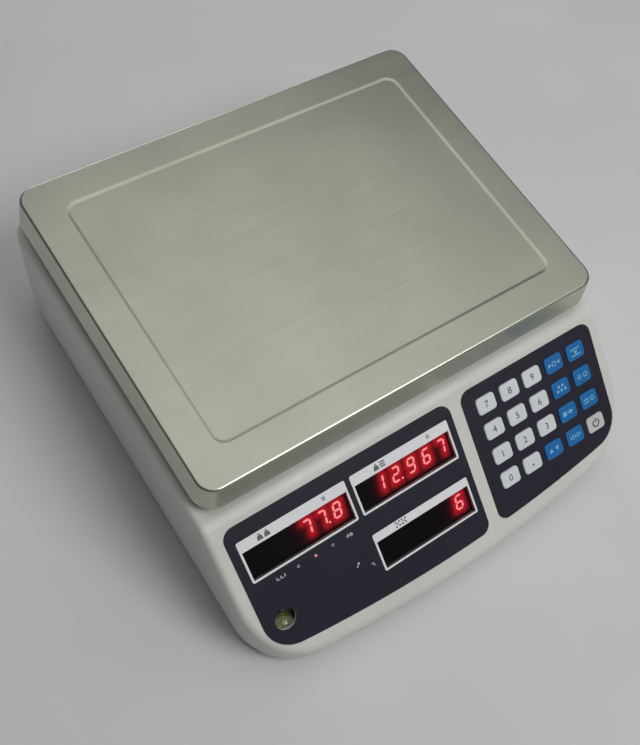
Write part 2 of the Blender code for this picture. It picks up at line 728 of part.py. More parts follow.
def make_cell_screws(materials):
    """Two screws come up through the chassis, and two go down through the spider."""
    head_radius, head_height = CELL_SCREW_HEAD
    profile = [
        (head_radius, 0),
        (head_radius, head_height),
        (CELL_SCREW_RADIUS, head_height),
        (CELL_SCREW_RADIUS, head_height + CELL_SCREW_REACH),
    ]
    head_below_chassis = CHASSIS_Z - GAP - head_height
    for number, place in enumerate(cell_screw_places(-1), start=1):
        bm = bmesh.new()
        add_turned(bm, profile, 14)
        name = f"cell_screw_fixed_{number}"
        make_object(name, bm, materials["steel"], (*place, head_below_chassis), smooth=True)
    upside_down = [(radius, -height) for radius, height in profile]
    for number, place in enumerate(cell_screw_places(1), start=1):
        bm = bmesh.new()
        add_turned(bm, upside_down, 14)
        name = f"cell_screw_free_{number}"
        make_object(name, bm, materials["steel"], (*place, FREE_SCREW_TOP_Z), smooth=True)


def spider_outline():
    """An X whose four arms reach the pan rests, with a notch between each two arms."""
    length = hypot(*PAN_REST_REACH)
    along = Vector(PAN_REST_REACH) / length
    side = Vector((-along.y, along.x)) * SPIDER_ARM_WIDTH / 2
    end = along * (length + SPIDER_ARM_WIDTH / 2)
    notch_x, notch_y = CELL_SIZE[0] / 2 + 0.001, 0.019
    quarter = [(notch_x, 0), tuple(end - side), tuple(end + side), (0, notch_y)]
    half = quarter + [(-x, y) for x, y in reversed(quarter[1:3])]
    points = half + [(-x, -y) for x, y in half]
    return [(x, y + PAN_CENTRE_Y) for x, y in points]


def make_spider(materials):
    top = SPIDER_Z + SPIDER_THICKNESS
    bm = bmesh.new()
    add_prism(bm, spider_outline(), SPIDER_Z, top)
    spider = make_object("spider", bm, materials["cast"])

    posts = bmesh.new()
    for place in PAN_REST_PLACES:
        add_rod(posts, place, POST_RADIUS, top - 0.003, POST_TOP_Z, sides=16)
    boss_x = (CELL_SIZE[0] - CELL_END) / 2
    cell_top = CELL_Z + CELL_SIZE[2]
    add_block(posts, (boss_x, PAN_CENTRE_Y), (CELL_END - 0.001, 0.018), cell_top + GAP, top - 0.002)
    join_shape(spider, "posts_and_boss", posts)

    holes = bmesh.new()
    head_radius, head_height = CELL_SCREW_HEAD
    head_floor = FREE_SCREW_TOP_Z - head_height - GAP
    screw_hole = [
        (CELL_HOLE_RADIUS, cell_top - 0.001),
        (CELL_HOLE_RADIUS, head_floor),
        (head_radius + 2 * GAP, head_floor),
        (head_radius + 2 * GAP, top + OVERCUT),
    ]
    for place in cell_screw_places(1):
        add_turned(holes, screw_hole, 14, place)
    cut_shape(spider, "screw_holes", holes)


def make_bumpers(materials):
    """Rubber caps over the spider's posts, which the pan rests on."""
    top = PAN_TOP_Z - DISH_DEPTH - PAN_SHEET - GAP
    for number, place in enumerate(PAN_REST_PLACES, start=1):
        bm = bmesh.new()
        profile = [
            (POST_RADIUS + GAP, POST_TOP_Z + GAP),
            (POST_RADIUS + GAP, BUMPER_BOTTOM_Z),
            (BUMPER_RADIUS, BUMPER_BOTTOM_Z),
            (BUMPER_RADIUS, top - 0.0015),
            (BUMPER_RADIUS - 0.0015, top),
        ]
        add_turned(bm, profile, 16, place)
        make_object(f"pan_bumper_{number}", bm, materials["rubber"], smooth=True)


def pan_loop(inset, height):
    size = (PAN_SIZE[0] - 2 * inset, PAN_SIZE[1] - 2 * inset)
    return level(rounded_rectangle(*size, PAN_CORNER_RADIUS - inset, 5), height)


def dish_loop(grow, height):
    size = (DISH_SIZE[0] + 2 * grow, DISH_SIZE[1] + 2 * grow)
    return level(rounded_rectangle(*size, DISH_CORNER_RADIUS + grow, 5), height)


def pan_skin(sheet):
    """Loops from the pressed middle out over the edge and down the slanted skirt, moved inwards by the sheet."""
    top = PAN_TOP_Z
    spread = sheet * tan(atan2(DISH_DEPTH, DISH_SLOPE) / 2)
    loops = [dish_loop(spread, top - DISH_DEPTH - sheet), dish_loop(DISH_SLOPE + spread, top - sheet)]
    slant = atan2(PAN_SKIRT_DRAFT, PAN_SKIRT)
    radius = PAN_EDGE_RADIUS
    turn = pi / 2 - slant
    centre_inset = PAN_SKIRT_DRAFT + radius * tan(turn / 2)
    for step in range(4):
        angle = step / 3 * turn
        inset = centre_inset - (radius - sheet) * sin(angle)
        loops.append(pan_loop(inset, top - radius + (radius - sheet) * cos(angle)))
    loops.append(pan_loop(sheet / cos(slant), top - PAN_SKIRT))
    return loops


def make_pan(materials):
    bm = bmesh.new()
    loft(bm, pan_skin(0) + pan_skin(PAN_SHEET)[::-1])
    make_object("pan", bm, materials["stainless"], (0, PAN_CENTRE_Y, 0), smooth=True)


# Power and control ------------------------------------------------------------------------------


def main_board_corners():
    x, y = MAIN_BOARD_SIZE[0] / 2 - 0.005, MAIN_BOARD_SIZE[1] / 2 - 0.005
    centre_x, centre_y = MAIN_BOARD_CENTRE
    return [(centre_x + side_x * x, centre_y + side_y * y) for side_x in (-1, 1) for side_y in (-1, 1)]


def make_main_board(materials):
    top = MAIN_BOARD_Z + BOARD_SHEET
    bm = bmesh.new()
    add_block(bm, MAIN_BOARD_CENTRE, MAIN_BOARD_SIZE, MAIN_BOARD_Z, top)
    board = make_object("main_board", bm, materials["board"])
    chips = bmesh.new()
    x, y = MAIN_BOARD_CENTRE
    add_block(chips, (x - 0.015, y + 0.005), (0.014, 0.014), top - 0.0005, top + 0.0020)
    add_block(chips, (x + 0.012, y + 0.012), (0.020, 0.008), top - 0.0005, top + 0.0035)
    add_block(chips, (x, y - 0.024), (0.050, 0.006), top - 0.0005, top + 0.0070)
    add_rod(chips, (x + 0.036, y - 0.006), 0.0060, top - 0.0005, top + 0.0160, sides=14)
    join_shape(board, "components", chips)


def make_battery(materials):
    """A sealed battery lying on its side, with two tabs on its end."""
    bottom = BAY_FLOOR_Z + GAP
    bm = bmesh.new()
    add_block(bm, BATTERY_CENTRE, BATTERY_SIZE, bottom, bottom + BATTERY_SIZE[2] - 0.001)
    battery = make_object("battery", bm, materials["battery"])
    tabs = bmesh.new()
    end_x = BATTERY_CENTRE[0] + BATTERY_SIZE[0] / 2
    tab_z = bottom + 0.0300
    for side in (-1, 1):
        place = (end_x, BATTERY_CENTRE[1] + side * 0.024)
        add_block(tabs, place, (0.010, 0.005), tab_z, tab_z + 0.0010)
    join_shape(battery, "tabs", tabs)


def make_transformer(materials):
    """A laminated core with its winding, on two mounting lugs."""
    bottom = FLOOR_TOP_Z + GAP
    width, depth, height = TRANSFORMER_CORE
    bm = bmesh.new()
    add_block(bm, TRANSFORMER_CENTRE, (width, depth), bottom, bottom + height)
    transformer = make_object("transformer", bm, materials["plated_steel"])
    winding = bmesh.new()
    coil = rounded_rectangle(width - 0.020, depth + 0.014, 0.005, 2, TRANSFORMER_CENTRE)
    add_prism(winding, coil, bottom + 0.008, bottom + height - 0.008)
    add_block(winding, TRANSFORMER_CENTRE, (width + 0.016, 0.012), bottom + 0.0005, bottom + 0.0020)
    join_shape(transformer, "winding_and_lugs", winding)


def make_power_inlet(materials):
    """A two-pin figure-eight inlet, flush with the rear wall."""
    x, z = INLET_PLACE
    rear = CASE_HALF_DEPTH - GAP
    bm = bmesh.new()
    add_prism(bm, rounded_rectangle(INLET_SIZE[0], INLET_SIZE[1], 0.001, 1), 0, INLET_BODY_DEPTH)
    inlet = make_object("power_inlet", bm, materials["black_plastic"], (x, rear, z))
    inlet.rotation_euler = (pi / 2, 0, 0)

    def facing_rear(shape):
        placed = Matrix.Translation((x, rear, z)) @ Matrix.Rotation(pi / 2, 4, "X")
        bmesh.ops.transform(shape, matrix=placed, verts=shape.verts)
        return shape

    flange = bmesh.new()
    behind_wall = WALL + GAP
    flange_width, flange_height, flange_sheet = INLET_FLANGE
    add_block(flange, (0, 0), (flange_width, flange_height), behind_wall, behind_wall + flange_sheet)
    join_shape(inlet, "flange", facing_rear(flange))
    socket = bmesh.new()
    socket_width, socket_height, socket_depth = SOCKET_SIZE
    add_prism(socket, rounded_rectangle(socket_width, socket_height, 0.0040, 4), -0.001, socket_depth)
    cut_shape(inlet, "socket", facing_rear(socket))
    pins = bmesh.new()
    for side in (-1, 1):
        add_rod(pins, (side * PIN_SPREAD, 0), PIN_RADIUS, 0.0030, socket_depth + 0.0015, sides=10)
    join_shape(inlet, "pins", facing_rear(pins))


def make_materials():
    return {
        "case": make_material("case_plastic", (0.72, 0.71, 0.66), 0.38),
        "stainless": make_material("stainless_steel", (0.50, 0.50, 0.44), 0.32, 1.0),
        "overlay": make_material("overlay_film", (0.020, 0.018, 0.032), 0.35),
        "key_white": make_material("key_white", (0.60, 0.64, 0.66), 0.45),
        "key_blue": make_material("key_blue", (0.03, 0.16, 0.42), 0.45),
        "key_grey": make_material("key_grey", (0.52, 0.53, 0.52), 0.45),
        "led": make_material("led_module", (0.015, 0.012, 0.012), 0.30),
        "board": make_material("circuit_board", (0.02, 0.20, 0.08), 0.45),
        "vial": make_material("vial_acrylic", (0.45, 0.55, 0.12), 0.10),
        "rubber": make_material("rubber", (0.03, 0.03, 0.03), 0.80),
        "steel": make_material("zinc_steel", (0.60, 0.60, 0.58), 0.35, 1.0),
        "plated_steel": make_material("plated_steel", (0.45, 0.45, 0.43), 0.45, 1.0),
        "aluminium": make_material("aluminium", (0.70, 0.71, 0.72), 0.35, 1.0),
        "cast": make_material("cast_aluminium", (0.50, 0.51, 0.52), 0.60, 1.0),
        "battery": make_material("battery_case", (0.06, 0.06, 0.07), 0.50),
        "black_plastic": make_material("black_plastic", (0.02, 0.02, 0.02), 0.45),
    }


def main():
    clear_scene()
    materials = make_materials()
    frame = make_console_frame()
    make_bottom_case(materials)
    make_top_case(materials)
    make_battery_door(materials)
    make_case_screws(materials)
    make_feet(materials)
    make_chassis(materials)
    make_load_cell(materials)
    make_cell_screws(materials)
    make_spider(materials)
    make_bumpers(materials)
    make_pan(materials)
    make_overlays(materials, frame)
    make_keys(materials, frame)
    make_boards_and_modules(materials, frame)
    make_level_vial(materials)
    make_main_board(materials)
    make_battery(materials)
    make_transformer(materials)
    make_power_inlet(materials)


main()
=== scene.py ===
"""The looks of a counting scale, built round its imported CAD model.

Metres, +Z up: X runs left to right, the console faces -Y, and the origin is on the table under the middle of
the scale. The console has axes of its own: x across, y up its slope from the crease where the deck ends, and
z out of it. Every piece is built where it lies and rides on a body of the model.
"""

import json
from math import asin, atan2, cos, pi, radians, sin, sqrt, tan
from re import findall

import bmesh
import bpy
from mathutils import Matrix, Vector


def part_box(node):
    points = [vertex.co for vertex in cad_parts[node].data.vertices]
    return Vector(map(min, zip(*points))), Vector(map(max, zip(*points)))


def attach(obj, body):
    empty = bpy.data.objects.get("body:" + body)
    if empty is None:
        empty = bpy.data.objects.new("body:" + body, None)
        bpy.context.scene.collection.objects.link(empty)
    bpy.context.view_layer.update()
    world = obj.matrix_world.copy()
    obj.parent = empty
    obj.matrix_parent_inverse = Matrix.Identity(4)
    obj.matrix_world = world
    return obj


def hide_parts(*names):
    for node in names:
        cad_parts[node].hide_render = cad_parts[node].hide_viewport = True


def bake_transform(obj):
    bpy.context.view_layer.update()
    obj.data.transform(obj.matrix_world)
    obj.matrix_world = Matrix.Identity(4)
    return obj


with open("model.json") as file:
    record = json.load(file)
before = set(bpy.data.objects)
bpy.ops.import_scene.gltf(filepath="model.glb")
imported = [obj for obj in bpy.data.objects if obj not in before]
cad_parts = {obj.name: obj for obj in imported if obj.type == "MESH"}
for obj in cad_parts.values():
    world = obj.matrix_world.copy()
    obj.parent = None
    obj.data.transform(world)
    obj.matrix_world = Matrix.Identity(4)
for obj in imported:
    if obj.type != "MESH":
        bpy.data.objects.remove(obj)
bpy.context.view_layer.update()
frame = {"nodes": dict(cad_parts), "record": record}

# --- Driving dimensions ---

MM = 0.001
GAP = 0.0003
OVERCUT = 0.002  # how far a cutter reaches past what it cuts

CASE_LOW, CASE_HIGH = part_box("top_case")
TRAY_LOW, TRAY_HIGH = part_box("bottom_case")
CASE_HALF_WIDTH = CASE_HIGH.x
CASE_HALF_DEPTH = CASE_HIGH.y
DECK_Z = CASE_HIGH.z
WALL = 0.0025
REAR_CORNER_RADIUS = 0.018
FRONT_CORNER_RADIUS = 0.042
FRONT_BOW_RADIUS = 0.915
EDGE_ROUNDING = 0.004
DECK_HOLE_RADIUS = 0.012
SCREW_COLUMN_RADIUS = 0.0045
INLET_SIZE = (0.0220, 0.0120)

CREASE_Y = -0.0736
CONSOLE_TILT = radians(38)
RECESS_DEPTH = 0.0008
FILM_SHEET = 0.0005
PANEL_TOP = 0.0067
PANEL_BOTTOM = 0.102
INK = 0.00006  # how far a print stands proud
INK_SUNK = 0.00002  # how far it reaches into the surface under it

WINDOW_SIZE = (0.0716, 0.0190)
WINDOWS = ("led_weight", "led_unit_weight", "led_count")
LED_HEIGHT = 0.0080
FRAME_BORDER = 0.0014
FRAME_CORNER_RADIUS = 0.0013
FRAME_HEADERS = {"led_weight": 0.0072, "led_unit_weight": 0.0072, "led_count": 0.0059}
VIAL_HOLE_RADIUS = 0.0070

KEY_SIZE = (0.0149, 0.0115)
KEY_CORNER_RADIUS = 0.0025
KEY_PROUD = 0.0010
KEY_BELOW = 0.0020

DIGIT_SIZE = (0.0059, 0.0104)
DIGIT_STROKE = 0.0013
DIGIT_SLANT = tan(radians(8))
DIGIT_CELLS = 6
SEGMENT_BOTTOM, SEGMENT_TOP = 0.00005, 0.00012  # above the display's face
# how far the painted red glow spreads round the lit digits
GLOW_REACH = 0.0030

PAN_LOW, PAN_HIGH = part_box("pan")
PAN_SIZE = (PAN_HIGH.x - PAN_LOW.x, PAN_HIGH.y - PAN_LOW.y)
PAN_CENTRE = (0, (PAN_HIGH.y + PAN_LOW.y) / 2)
PAN_SHEET = 0.001
PAN_TOP_Z = PAN_HIGH.z
PAN_SKIRT_DRAFT = 0.003
PAN_EDGE_RADIUS = 0.002
PAN_CORNER_RADIUS = 0.014
DISH_SIZE = (0.2420, 0.1770)
DISH_DEPTH = 0.0005
DISH_SLOPE = 0.0028
DISH_CORNER_RADIUS = 0.006

NUMBERS = range(1, 5)  # of the case screws and the pan's rests
FOOT_CORNERS = ("front_left", "front_right", "rear_left", "rear_right")

CONSOLE_TO_WORLD = Matrix.Translation((0, CREASE_Y, DECK_Z)) @ Matrix.Rotation(CONSOLE_TILT, 4, "X")
WORLD_TO_CONSOLE = CONSOLE_TO_WORLD.inverted()
CONSOLE_NORMAL = Vector((0, -sin(CONSOLE_TILT), cos(CONSOLE_TILT)))


def node_centre(node):
    low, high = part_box(node)
    return (low + high) / 2


def console_centre(node):
    """A node's middle in the console's axes."""
    return WORLD_TO_CONSOLE @ node_centre(node)


def round_node(node):
    """A round upright node's place in plan, radius, bottom and top."""
    low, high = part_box(node)
    return ((low + high) / 2).xy, (high.x - low.x) / 2, low.z, high.z


# --- Outlines ---


def arc(centre, radius, start, end, steps):
    """Points on an arc with both its ends, counter-clockwise."""
    angles = [start + (end - start) * step / steps for step in range(steps + 1)]
    return [(centre[0] + radius * cos(angle), centre[1] + radius * sin(angle)) for angle in angles]


def circle(radius, sides, centre=(0.0, 0.0)):
    return arc(centre, radius, 0, 2 * pi, sides)[:-1]


def rectangle(width, depth, centre=(0.0, 0.0)):
    x, y = centre
    half_width, half_depth = width / 2, depth / 2
    corners = ((-1, -1), (1, -1), (1, 1), (-1, 1))
    return [(x + side * half_width, y + end * half_depth) for side, end in corners]


def round_rectangle(width, depth, radius, steps=6, centre=(0.0, 0.0), inset=0.0):
    """A rectangle with round corners, moved in by inset."""
    corner_x, corner_y = width / 2 - radius, depth / 2 - radius
    points = []
    for turn, (side_x, side_y) in enumerate(((1, 1), (-1, 1), (-1, -1), (1, -1))):
        corner = (centre[0] + side_x * corner_x, centre[1] + side_y * corner_y)
        points += arc(corner, radius - inset, turn * pi / 2, (turn + 1) * pi / 2, steps)
    return points


def rounded_polygon(corners, steps):
    """A counter-clockwise outline from (x, y, radius) corners."""
    points = []
    for index, (x, y, radius) in enumerate(corners):
        here = Vector((x, y))
        if radius == 0:
            points.append((x, y))
            continue
        before = (Vector(corners[index - 1][:2]) - here).normalized()
        after = (Vector(corners[(index + 1) % len(corners)][:2]) - here).normalized()
        half_angle = before.angle(after) / 2
        centre = here + (before + after).normalized() * radius / sin(half_angle)
        first = here + before * radius / tan(half_angle) - centre
        start = atan2(first.y, first.x)
        points += arc(centre, radius, start, start + pi - 2 * half_angle, steps)
    return points


def quarter_round(radius, steps):
    """(inset, drop) along a rounded edge, from the side up to the top."""
    angles = [step / steps * pi / 2 for step in range(steps + 1)]
    return [(radius * (1 - cos(angle)), radius * (1 - sin(angle))) for angle in angles]


def case_outline(inset=0.0):
    """The case in plan, with a bowed front and round corners, moved in by inset."""
    bow_centre = (0.0, FRONT_BOW_RADIUS - CASE_HALF_DEPTH)
    front_x = CASE_HALF_WIDTH - FRONT_CORNER_RADIUS
    reach = FRONT_BOW_RADIUS - FRONT_CORNER_RADIUS
    front_y = bow_centre[1] - sqrt(reach**2 - front_x**2)
    rear_x, rear_y = CASE_HALF_WIDTH - REAR_CORNER_RADIUS, CASE_HALF_DEPTH - REAR_CORNER_RADIUS
    front_radius, rear_radius = FRONT_CORNER_RADIUS - inset, REAR_CORNER_RADIUS - inset
    steps, front, swing = 18, 1.5 * pi, asin(front_x / reach)
    points = arc((-front_x, front_y), front_radius, pi, front - swing, steps)
    points += arc(bow_centre, FRONT_BOW_RADIUS - inset, front - swing, front + swing, 24)[1:-1]
    points += arc((front_x, front_y), front_radius, front + swing, 2 * pi, steps)
    points += arc((rear_x, rear_y), rear_radius, 0, pi / 2, steps)
    points += arc((-rear_x, rear_y), rear_radius, pi / 2, pi, steps)
    return points


def panel_outline(node, margin=0.0):
    """A console panel: a bowed lower edge, and an outer lower corner rounder than the others."""
    low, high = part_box(node)
    left, right = low.x - margin, high.x + margin
    outer_radius, inner_radius, upper_radius = 0.021, 0.0075, 0.0080
    on_left = abs(left) > abs(right)
    left_radius, right_radius = (outer_radius, inner_radius) if on_left else (inner_radius, outer_radius)

    def lower_corner(across, radius):
        down = PANEL_BOTTOM - across**2 / (2 * FRONT_BOW_RADIUS)
        return (across, -down - margin, radius)

    corners = [lower_corner(left, left_radius)]
    start, end = left + left_radius * 1.3, right - right_radius * 1.3
    bow_steps = 12
    corners += [lower_corner(start + (end - start) * step / bow_steps, 0) for step in range(bow_steps + 1)]
    corners.append(lower_corner(right, right_radius))
    corners += [(across, margin - PANEL_TOP, upper_radius) for across in (right, left)]
    return rounded_polygon(corners, steps=12)


# --- Mesh building ---


def loft(loops, bm=None, closed=False):
    """A skin through loops of equal length, with a face at each end or closed from last to first."""
    bm = bm or bmesh.new()
    rings = [[bm.verts.new(point) for point in loop] for loop in loops]
    pairs = list(zip(rings, rings[1:]))
    if closed:
        pairs.append((rings[-1], rings[0]))
    for lower, upper in pairs:
        for i in range(len(lower)):
            j = (i + 1) % len(lower)
            bm.faces.new((lower[i], lower[j], upper[j], upper[i]))
    if not closed:
        bm.faces.new(rings[0])
        bm.faces.new(rings[-1])
    return bm


def stacked(layers, bm=None, closed=False):
    """A skin through (outline, height) layers."""
    return loft([[(x, y, height) for x, y in outline] for outline, height in layers], bm, closed)


def prism(outline, bottom, top, bm=None):
    return stacked([(outline, bottom), (outline, top)], bm)


def turned(profile, sides, centre=(0.0, 0.0), bm=None):
    """A turned piece from (radius, height) points, first at the bottom."""
    return stacked([(circle(radius, sides, centre), height) for radius, height in profile], bm)


def rod(centre, radius, bottom, top, sides=32, bm=None):
    return turned([(radius, bottom), (radius, top)], sides, centre, bm)


def frame_ring(outer, inner, bottom, top, bm=None):
    """A flat ring between two outlines of equal length."""
    return stacked([(outer, bottom), (outer, top), (inner, top), (inner, bottom)], bm, closed=True)


def moved(bm, matrix):
    bmesh.ops.transform(bm, matrix=matrix, verts=bm.verts)
    return bm


def tilted(bm):
    """Turns geometry from the console's axes into the world's."""
    return moved(bm, CONSOLE_TO_WORLD)


def cut_at_console(bm, depth):
    """Removes all that lies above the console's slope, sunk by depth, and closes the cut."""
    bmesh.ops.bisect_plane(
        bm,
        geom=bm.verts[:] + bm.edges[:] + bm.faces[:],
        plane_co=Vector((0, CREASE_Y, DECK_Z)) - CONSOLE_NORMAL * depth,
        plane_no=CONSOLE_NORMAL,
        clear_outer=True,
    )
    bmesh.ops.holes_fill(bm, edges=[edge for edge in bm.edges if edge.is_boundary])


def add_object(name, data):
    obj = bpy.data.objects.new(name, data)
    bpy.context.scene.collection.objects.link(obj)
    return obj


def mesh_object(name, bm):
    """An object with the shape as its mesh, faces turned outwards."""
    bmesh.ops.recalc_face_normals(bm, faces=bm.faces)
    mesh = bpy.data.meshes.new(name)
    bm.to_mesh(mesh)
    bm.free()
    return add_object(name, mesh)


CUT, JOIN = "DIFFERENCE", "UNION"


def combined(bm, *steps):
    """The shape after each (CUT or JOIN, shape) step."""
    target = mesh_object("temporary", bm)
    helpers = []
    for operation, shape in steps:
        helper = mesh_object("temporary", shape)
        helpers.append(helper)
        modifier = target.modifiers.new(operation, "BOOLEAN")
        modifier.operation, modifier.object, modifier.solver = operation, helper, "EXACT"
    result = bmesh.new()
    result.from_object(target, bpy.context.evaluated_depsgraph_get())
    for obj in (target, *helpers):
        bpy.data.meshes.remove(obj.data)  # takes its object with it
    return result


def piece(name, bm, body, slot, replaces=(), material=None, crisp=False):
    """A piece that rides on a body, if given, takes a slot's finish and stands for the nodes it replaces.

    Its material is the slot's own unless another is given. A crisp piece's flat faces are shaded flat.
    """
    obj = mesh_object(name, bm)
    obj.data.shade_smooth()
    obj.data.set_sharp_from_angle(angle=radians(35))
    obj.data.materials.append(material or LOOKS[slot])
    if crisp:
        obj.modifiers.new("flat_faces", "WEIGHTED_NORMAL").keep_sharp = True
    if body:
        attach(obj, body)
    if replaces:
        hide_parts(*replaces)
    return obj


# --- Materials ---


def shader_of(material):
    return material.node_tree.nodes["Principled BSDF"]


def set_inputs(node, **values):
    """Sets a node's inputs, given by name with _ for a space."""
    for name, value in values.items():
        node.inputs[name.replace("_", " ")].default_value = value


def look(name, colour, roughness, **inputs):
    """A Principled material."""
    material = bpy.data.materials.new(name)
    material.use_nodes = True
    set_inputs(shader_of(material), Base_Color=(*colour, 1.0), Roughness=roughness, **inputs)
    return material


def add_node(material, kind, source=None, into="Vector", **inputs):
    """A new shader node, with a source linked into one of its inputs."""
    node = material.node_tree.nodes.new("ShaderNode" + kind)
    set_inputs(node, **inputs)
    if source is not None:
        material.node_tree.links.new(source, node.inputs[into])
    return node


def feed(material, source, into):
    """Links a source into one of the shader's inputs."""
    material.node_tree.links.new(source, shader_of(material).inputs[into])


def noise(material, scale, detail=3.0, stretch=(1.0, 1.0, 1.0)):
    """A noise in the object's own metres. Returns its value's socket."""
    place = add_node(material, "TexCoord").outputs["Object"]
    mapping = add_node(material, "Mapping", place, Scale=stretch).outputs["Vector"]
    return add_node(material, "TexNoise", mapping, Scale=scale, Detail=detail).outputs["Fac"]


def tint(material, value, dark, light, low=0.35, high=0.65):
    """Colours the surface between two colours as a noise goes from low to high."""
    ramp = add_node(material, "ValToRGB", value, "Fac")
    first, last = ramp.color_ramp.elements
    first.position, first.color = low, (*dark, 1.0)
    last.position, last.color = high, (*light, 1.0)
    feed(material, ramp.outputs["Color"], "Base Color")


def vary_roughness(material, value, low, high):
    node = add_node(material, "MapRange", value, "Value", From_Min=0.3, From_Max=0.7, To_Min=low, To_Max=high)
    feed(material, node.outputs["Result"], "Roughness")


def grain(material, value, depth):
    """Raises the surface by up to depth with a noise."""
    bump = add_node(material, "Bump", value, "Height", Strength=1.0, Distance=depth)
    feed(material, bump.outputs["Normal"], "Normal")


def scaled(colour, factor):
    return tuple(channel * factor for channel in colour)


def plastic(name, colour, roughness, texture_scale=1400, depth=0.00004, marks=0.06):
    """Plastic with a fine eroded texture and faint handling marks."""
    material = look(name, colour, roughness)
    tint(material, noise(material, 22, 4), scaled(colour, 0.955), scaled(colour, 1.01))
    vary_roughness(material, noise(material, 90, 5), roughness - marks, roughness + marks)
    grain(material, noise(material, texture_scale, 2), depth)
    return material


def brushed(name, colour, roughness, stretch, depth=0.000012):
    """Metal with fine scratches along the axis that stretch leaves long."""
    material = look(name, colour, roughness, Metallic=1.0)
    scratches = noise(material, 1.0, 4, stretch)
    tint(material, noise(material, 14, 3), scaled(colour, 0.93), scaled(colour, 1.04))
    vary_roughness(material, scratches, roughness - 0.06, roughness + 0.08)
    grain(material, scratches, depth)
    return material


def printed_ink(name, colour):
    material = look(name, colour, 0.5)
    tint(material, noise(material, 900, 2), scaled(colour, 0.93), colour)
    return material


def led_light(name, colour, strength):
    material = look(name, scaled(colour, 0.5), 0.4, Emission_Color=(*colour, 1.0), Emission_Strength=strength)
    grain(material, noise(material, 2500, 2), 0.00002)
    return material


def circuit_board():
    """Green solder mask with faint copper tracks under it."""
    green = (0.012, 0.13, 0.045)
    material = look("circuit_board", green, 0.35)
    tint(material, noise(material, 260, 0, (1.0, 0.12, 1.0)), green, (0.03, 0.24, 0.09), 0.47, 0.53)
    grain(material, noise(material, 700, 2), 0.00005)
    return material


def glowing_face():
    """The displays' dark face, with a painted red glow round the lit digits that stands in for their light's
    spread, stored at its points.
    """
    material = led_light("red_glow", (1.0, 0.012, 0.03), 0.0)
    set_inputs(shader_of(material), Base_Color=(0.010, 0.006, 0.006, 1.0))
    stored = add_node(material, "Attribute")
    stored.attribute_name = "glow"
    feed(material, stored.outputs["Fac"], "Emission Strength")
    return material


def smoked_window():
    material = look("smoked_window", (0.006, 0.005, 0.007), 0.12, Alpha=0.38, Specular_IOR_Level=0.25)
    grain(material, noise(material, 1200, 2), 0.00001)
    return material


def wet(name, roughness, scale, dark, light):
    """Glossy, with a colour that drifts between two colours."""
    material = look(name, dark, roughness, Coat_Weight=0.6, Coat_Roughness=0.04)
    tint(material, noise(material, scale), dark, light)
    return material


CASE_CREAM = (0.75, 0.75, 0.70)
STAINLESS = (0.53, 0.54, 0.45)
FILM_NAVY = (0.020, 0.018, 0.032)

# The material of each slot in the record.
LOOKS = {
    "case_plastic": plastic("case_plastic", CASE_CREAM, 0.40),
    "stainless": brushed("stainless_steel", STAINLESS, 0.34, (12, 1500, 1500)),
    "overlay_film": plastic("overlay_film", FILM_NAVY, 0.37, 2600, 0.00003, marks=0.015),
    "key_white": plastic("key_white", (0.76, 0.82, 0.84), 0.42, 2600, 0.00002),
    "key_blue": plastic("key_blue", (0.008, 0.165, 0.47), 0.42, 2600, 0.00002),
    "key_grey": plastic("key_grey", (0.66, 0.65, 0.63), 0.42, 2600, 0.00002),
    "led_module": plastic("led_module", (0.010, 0.006, 0.006), 0.35, 1800, 0.00002),
    "circuit_board": circuit_board(),
    "vial": plastic("vial_acrylic", (0.12, 0.13, 0.11), 0.20),
    "rubber": plastic("rubber", (0.022, 0.022, 0.022), 0.75, 900, 0.00008),
    "zinc_steel": brushed("zinc_steel", (0.60, 0.60, 0.58), 0.32, (900, 900, 60)),
    "plated_steel": brushed("plated_steel", (0.50, 0.50, 0.47), 0.42, (60, 900, 900)),
    "load_cell_aluminium": brushed("machined_aluminium", (0.72, 0.73, 0.74), 0.30, (30, 1200, 1200)),
    "cast_aluminium": brushed("cast_aluminium", (0.52, 0.53, 0.54), 0.55, (500, 500, 500), 0.00012),
    "battery_case": plastic("battery_case", (0.045, 0.045, 0.050), 0.50),
    "black_plastic": plastic("black_plastic", (0.015, 0.015, 0.015), 0.42),
}
WHITE_INK = printed_ink("white_ink", (0.93, 0.93, 0.95))
GREY_INK = printed_ink("grey_ink", (0.15, 0.15, 0.16))
FADED_INK = printed_ink("faded_ink", (0.62, 0.62, 0.66))
DARK_INK = printed_ink("dark_ink", (0.060, 0.062, 0.075))
PALE_INK = printed_ink("pale_ink", (0.22, 0.55, 0.78))
RED_LIT = led_light("red_segment_lit", (1.0, 0.28, 0.28), 2.6)
LAMP_LIT = led_light("lamp_lit", (1.0, 0.10, 0.18), 1.1)
UNLIT = plastic("lamp_unlit", (0.020, 0.012, 0.012), 0.5)
RED_GLOW = glowing_face()
SMOKED = smoked_window()
VIAL_FLUID = wet("vial_fluid", 0.08, 300, (0.085, 0.11, 0.014), (0.115, 0.14, 0.022))
BUBBLE = wet("vial_bubble", 0.06, 400, (0.27, 0.30, 0.12), (0.33, 0.36, 0.16))
BRASS_PIN = brushed("plated_pin", (0.66, 0.62, 0.50), 0.30, (900, 900, 60))


def finish_cad_nodes():
    """Gives every node of the model its slot's material."""
    for entry in frame["record"]["subparts"]:
        mesh = frame["nodes"][entry["node"]].data
        mesh.materials.clear()
        mesh.materials.append(LOOKS[entry["material_slot"]])


# --- Case ---


def key_nodes():
    return [node for node in frame["nodes"] if node.startswith("key_")]


def key_outline(node, margin=0.0):
    centre = console_centre(node).xy
    return round_rectangle(*KEY_SIZE, KEY_CORNER_RADIUS, centre=centre, inset=-margin)


def window_outline(node, grow=0.0):
    return rectangle(*(side + 2 * grow for side in WINDOW_SIZE), console_centre(node).xy)


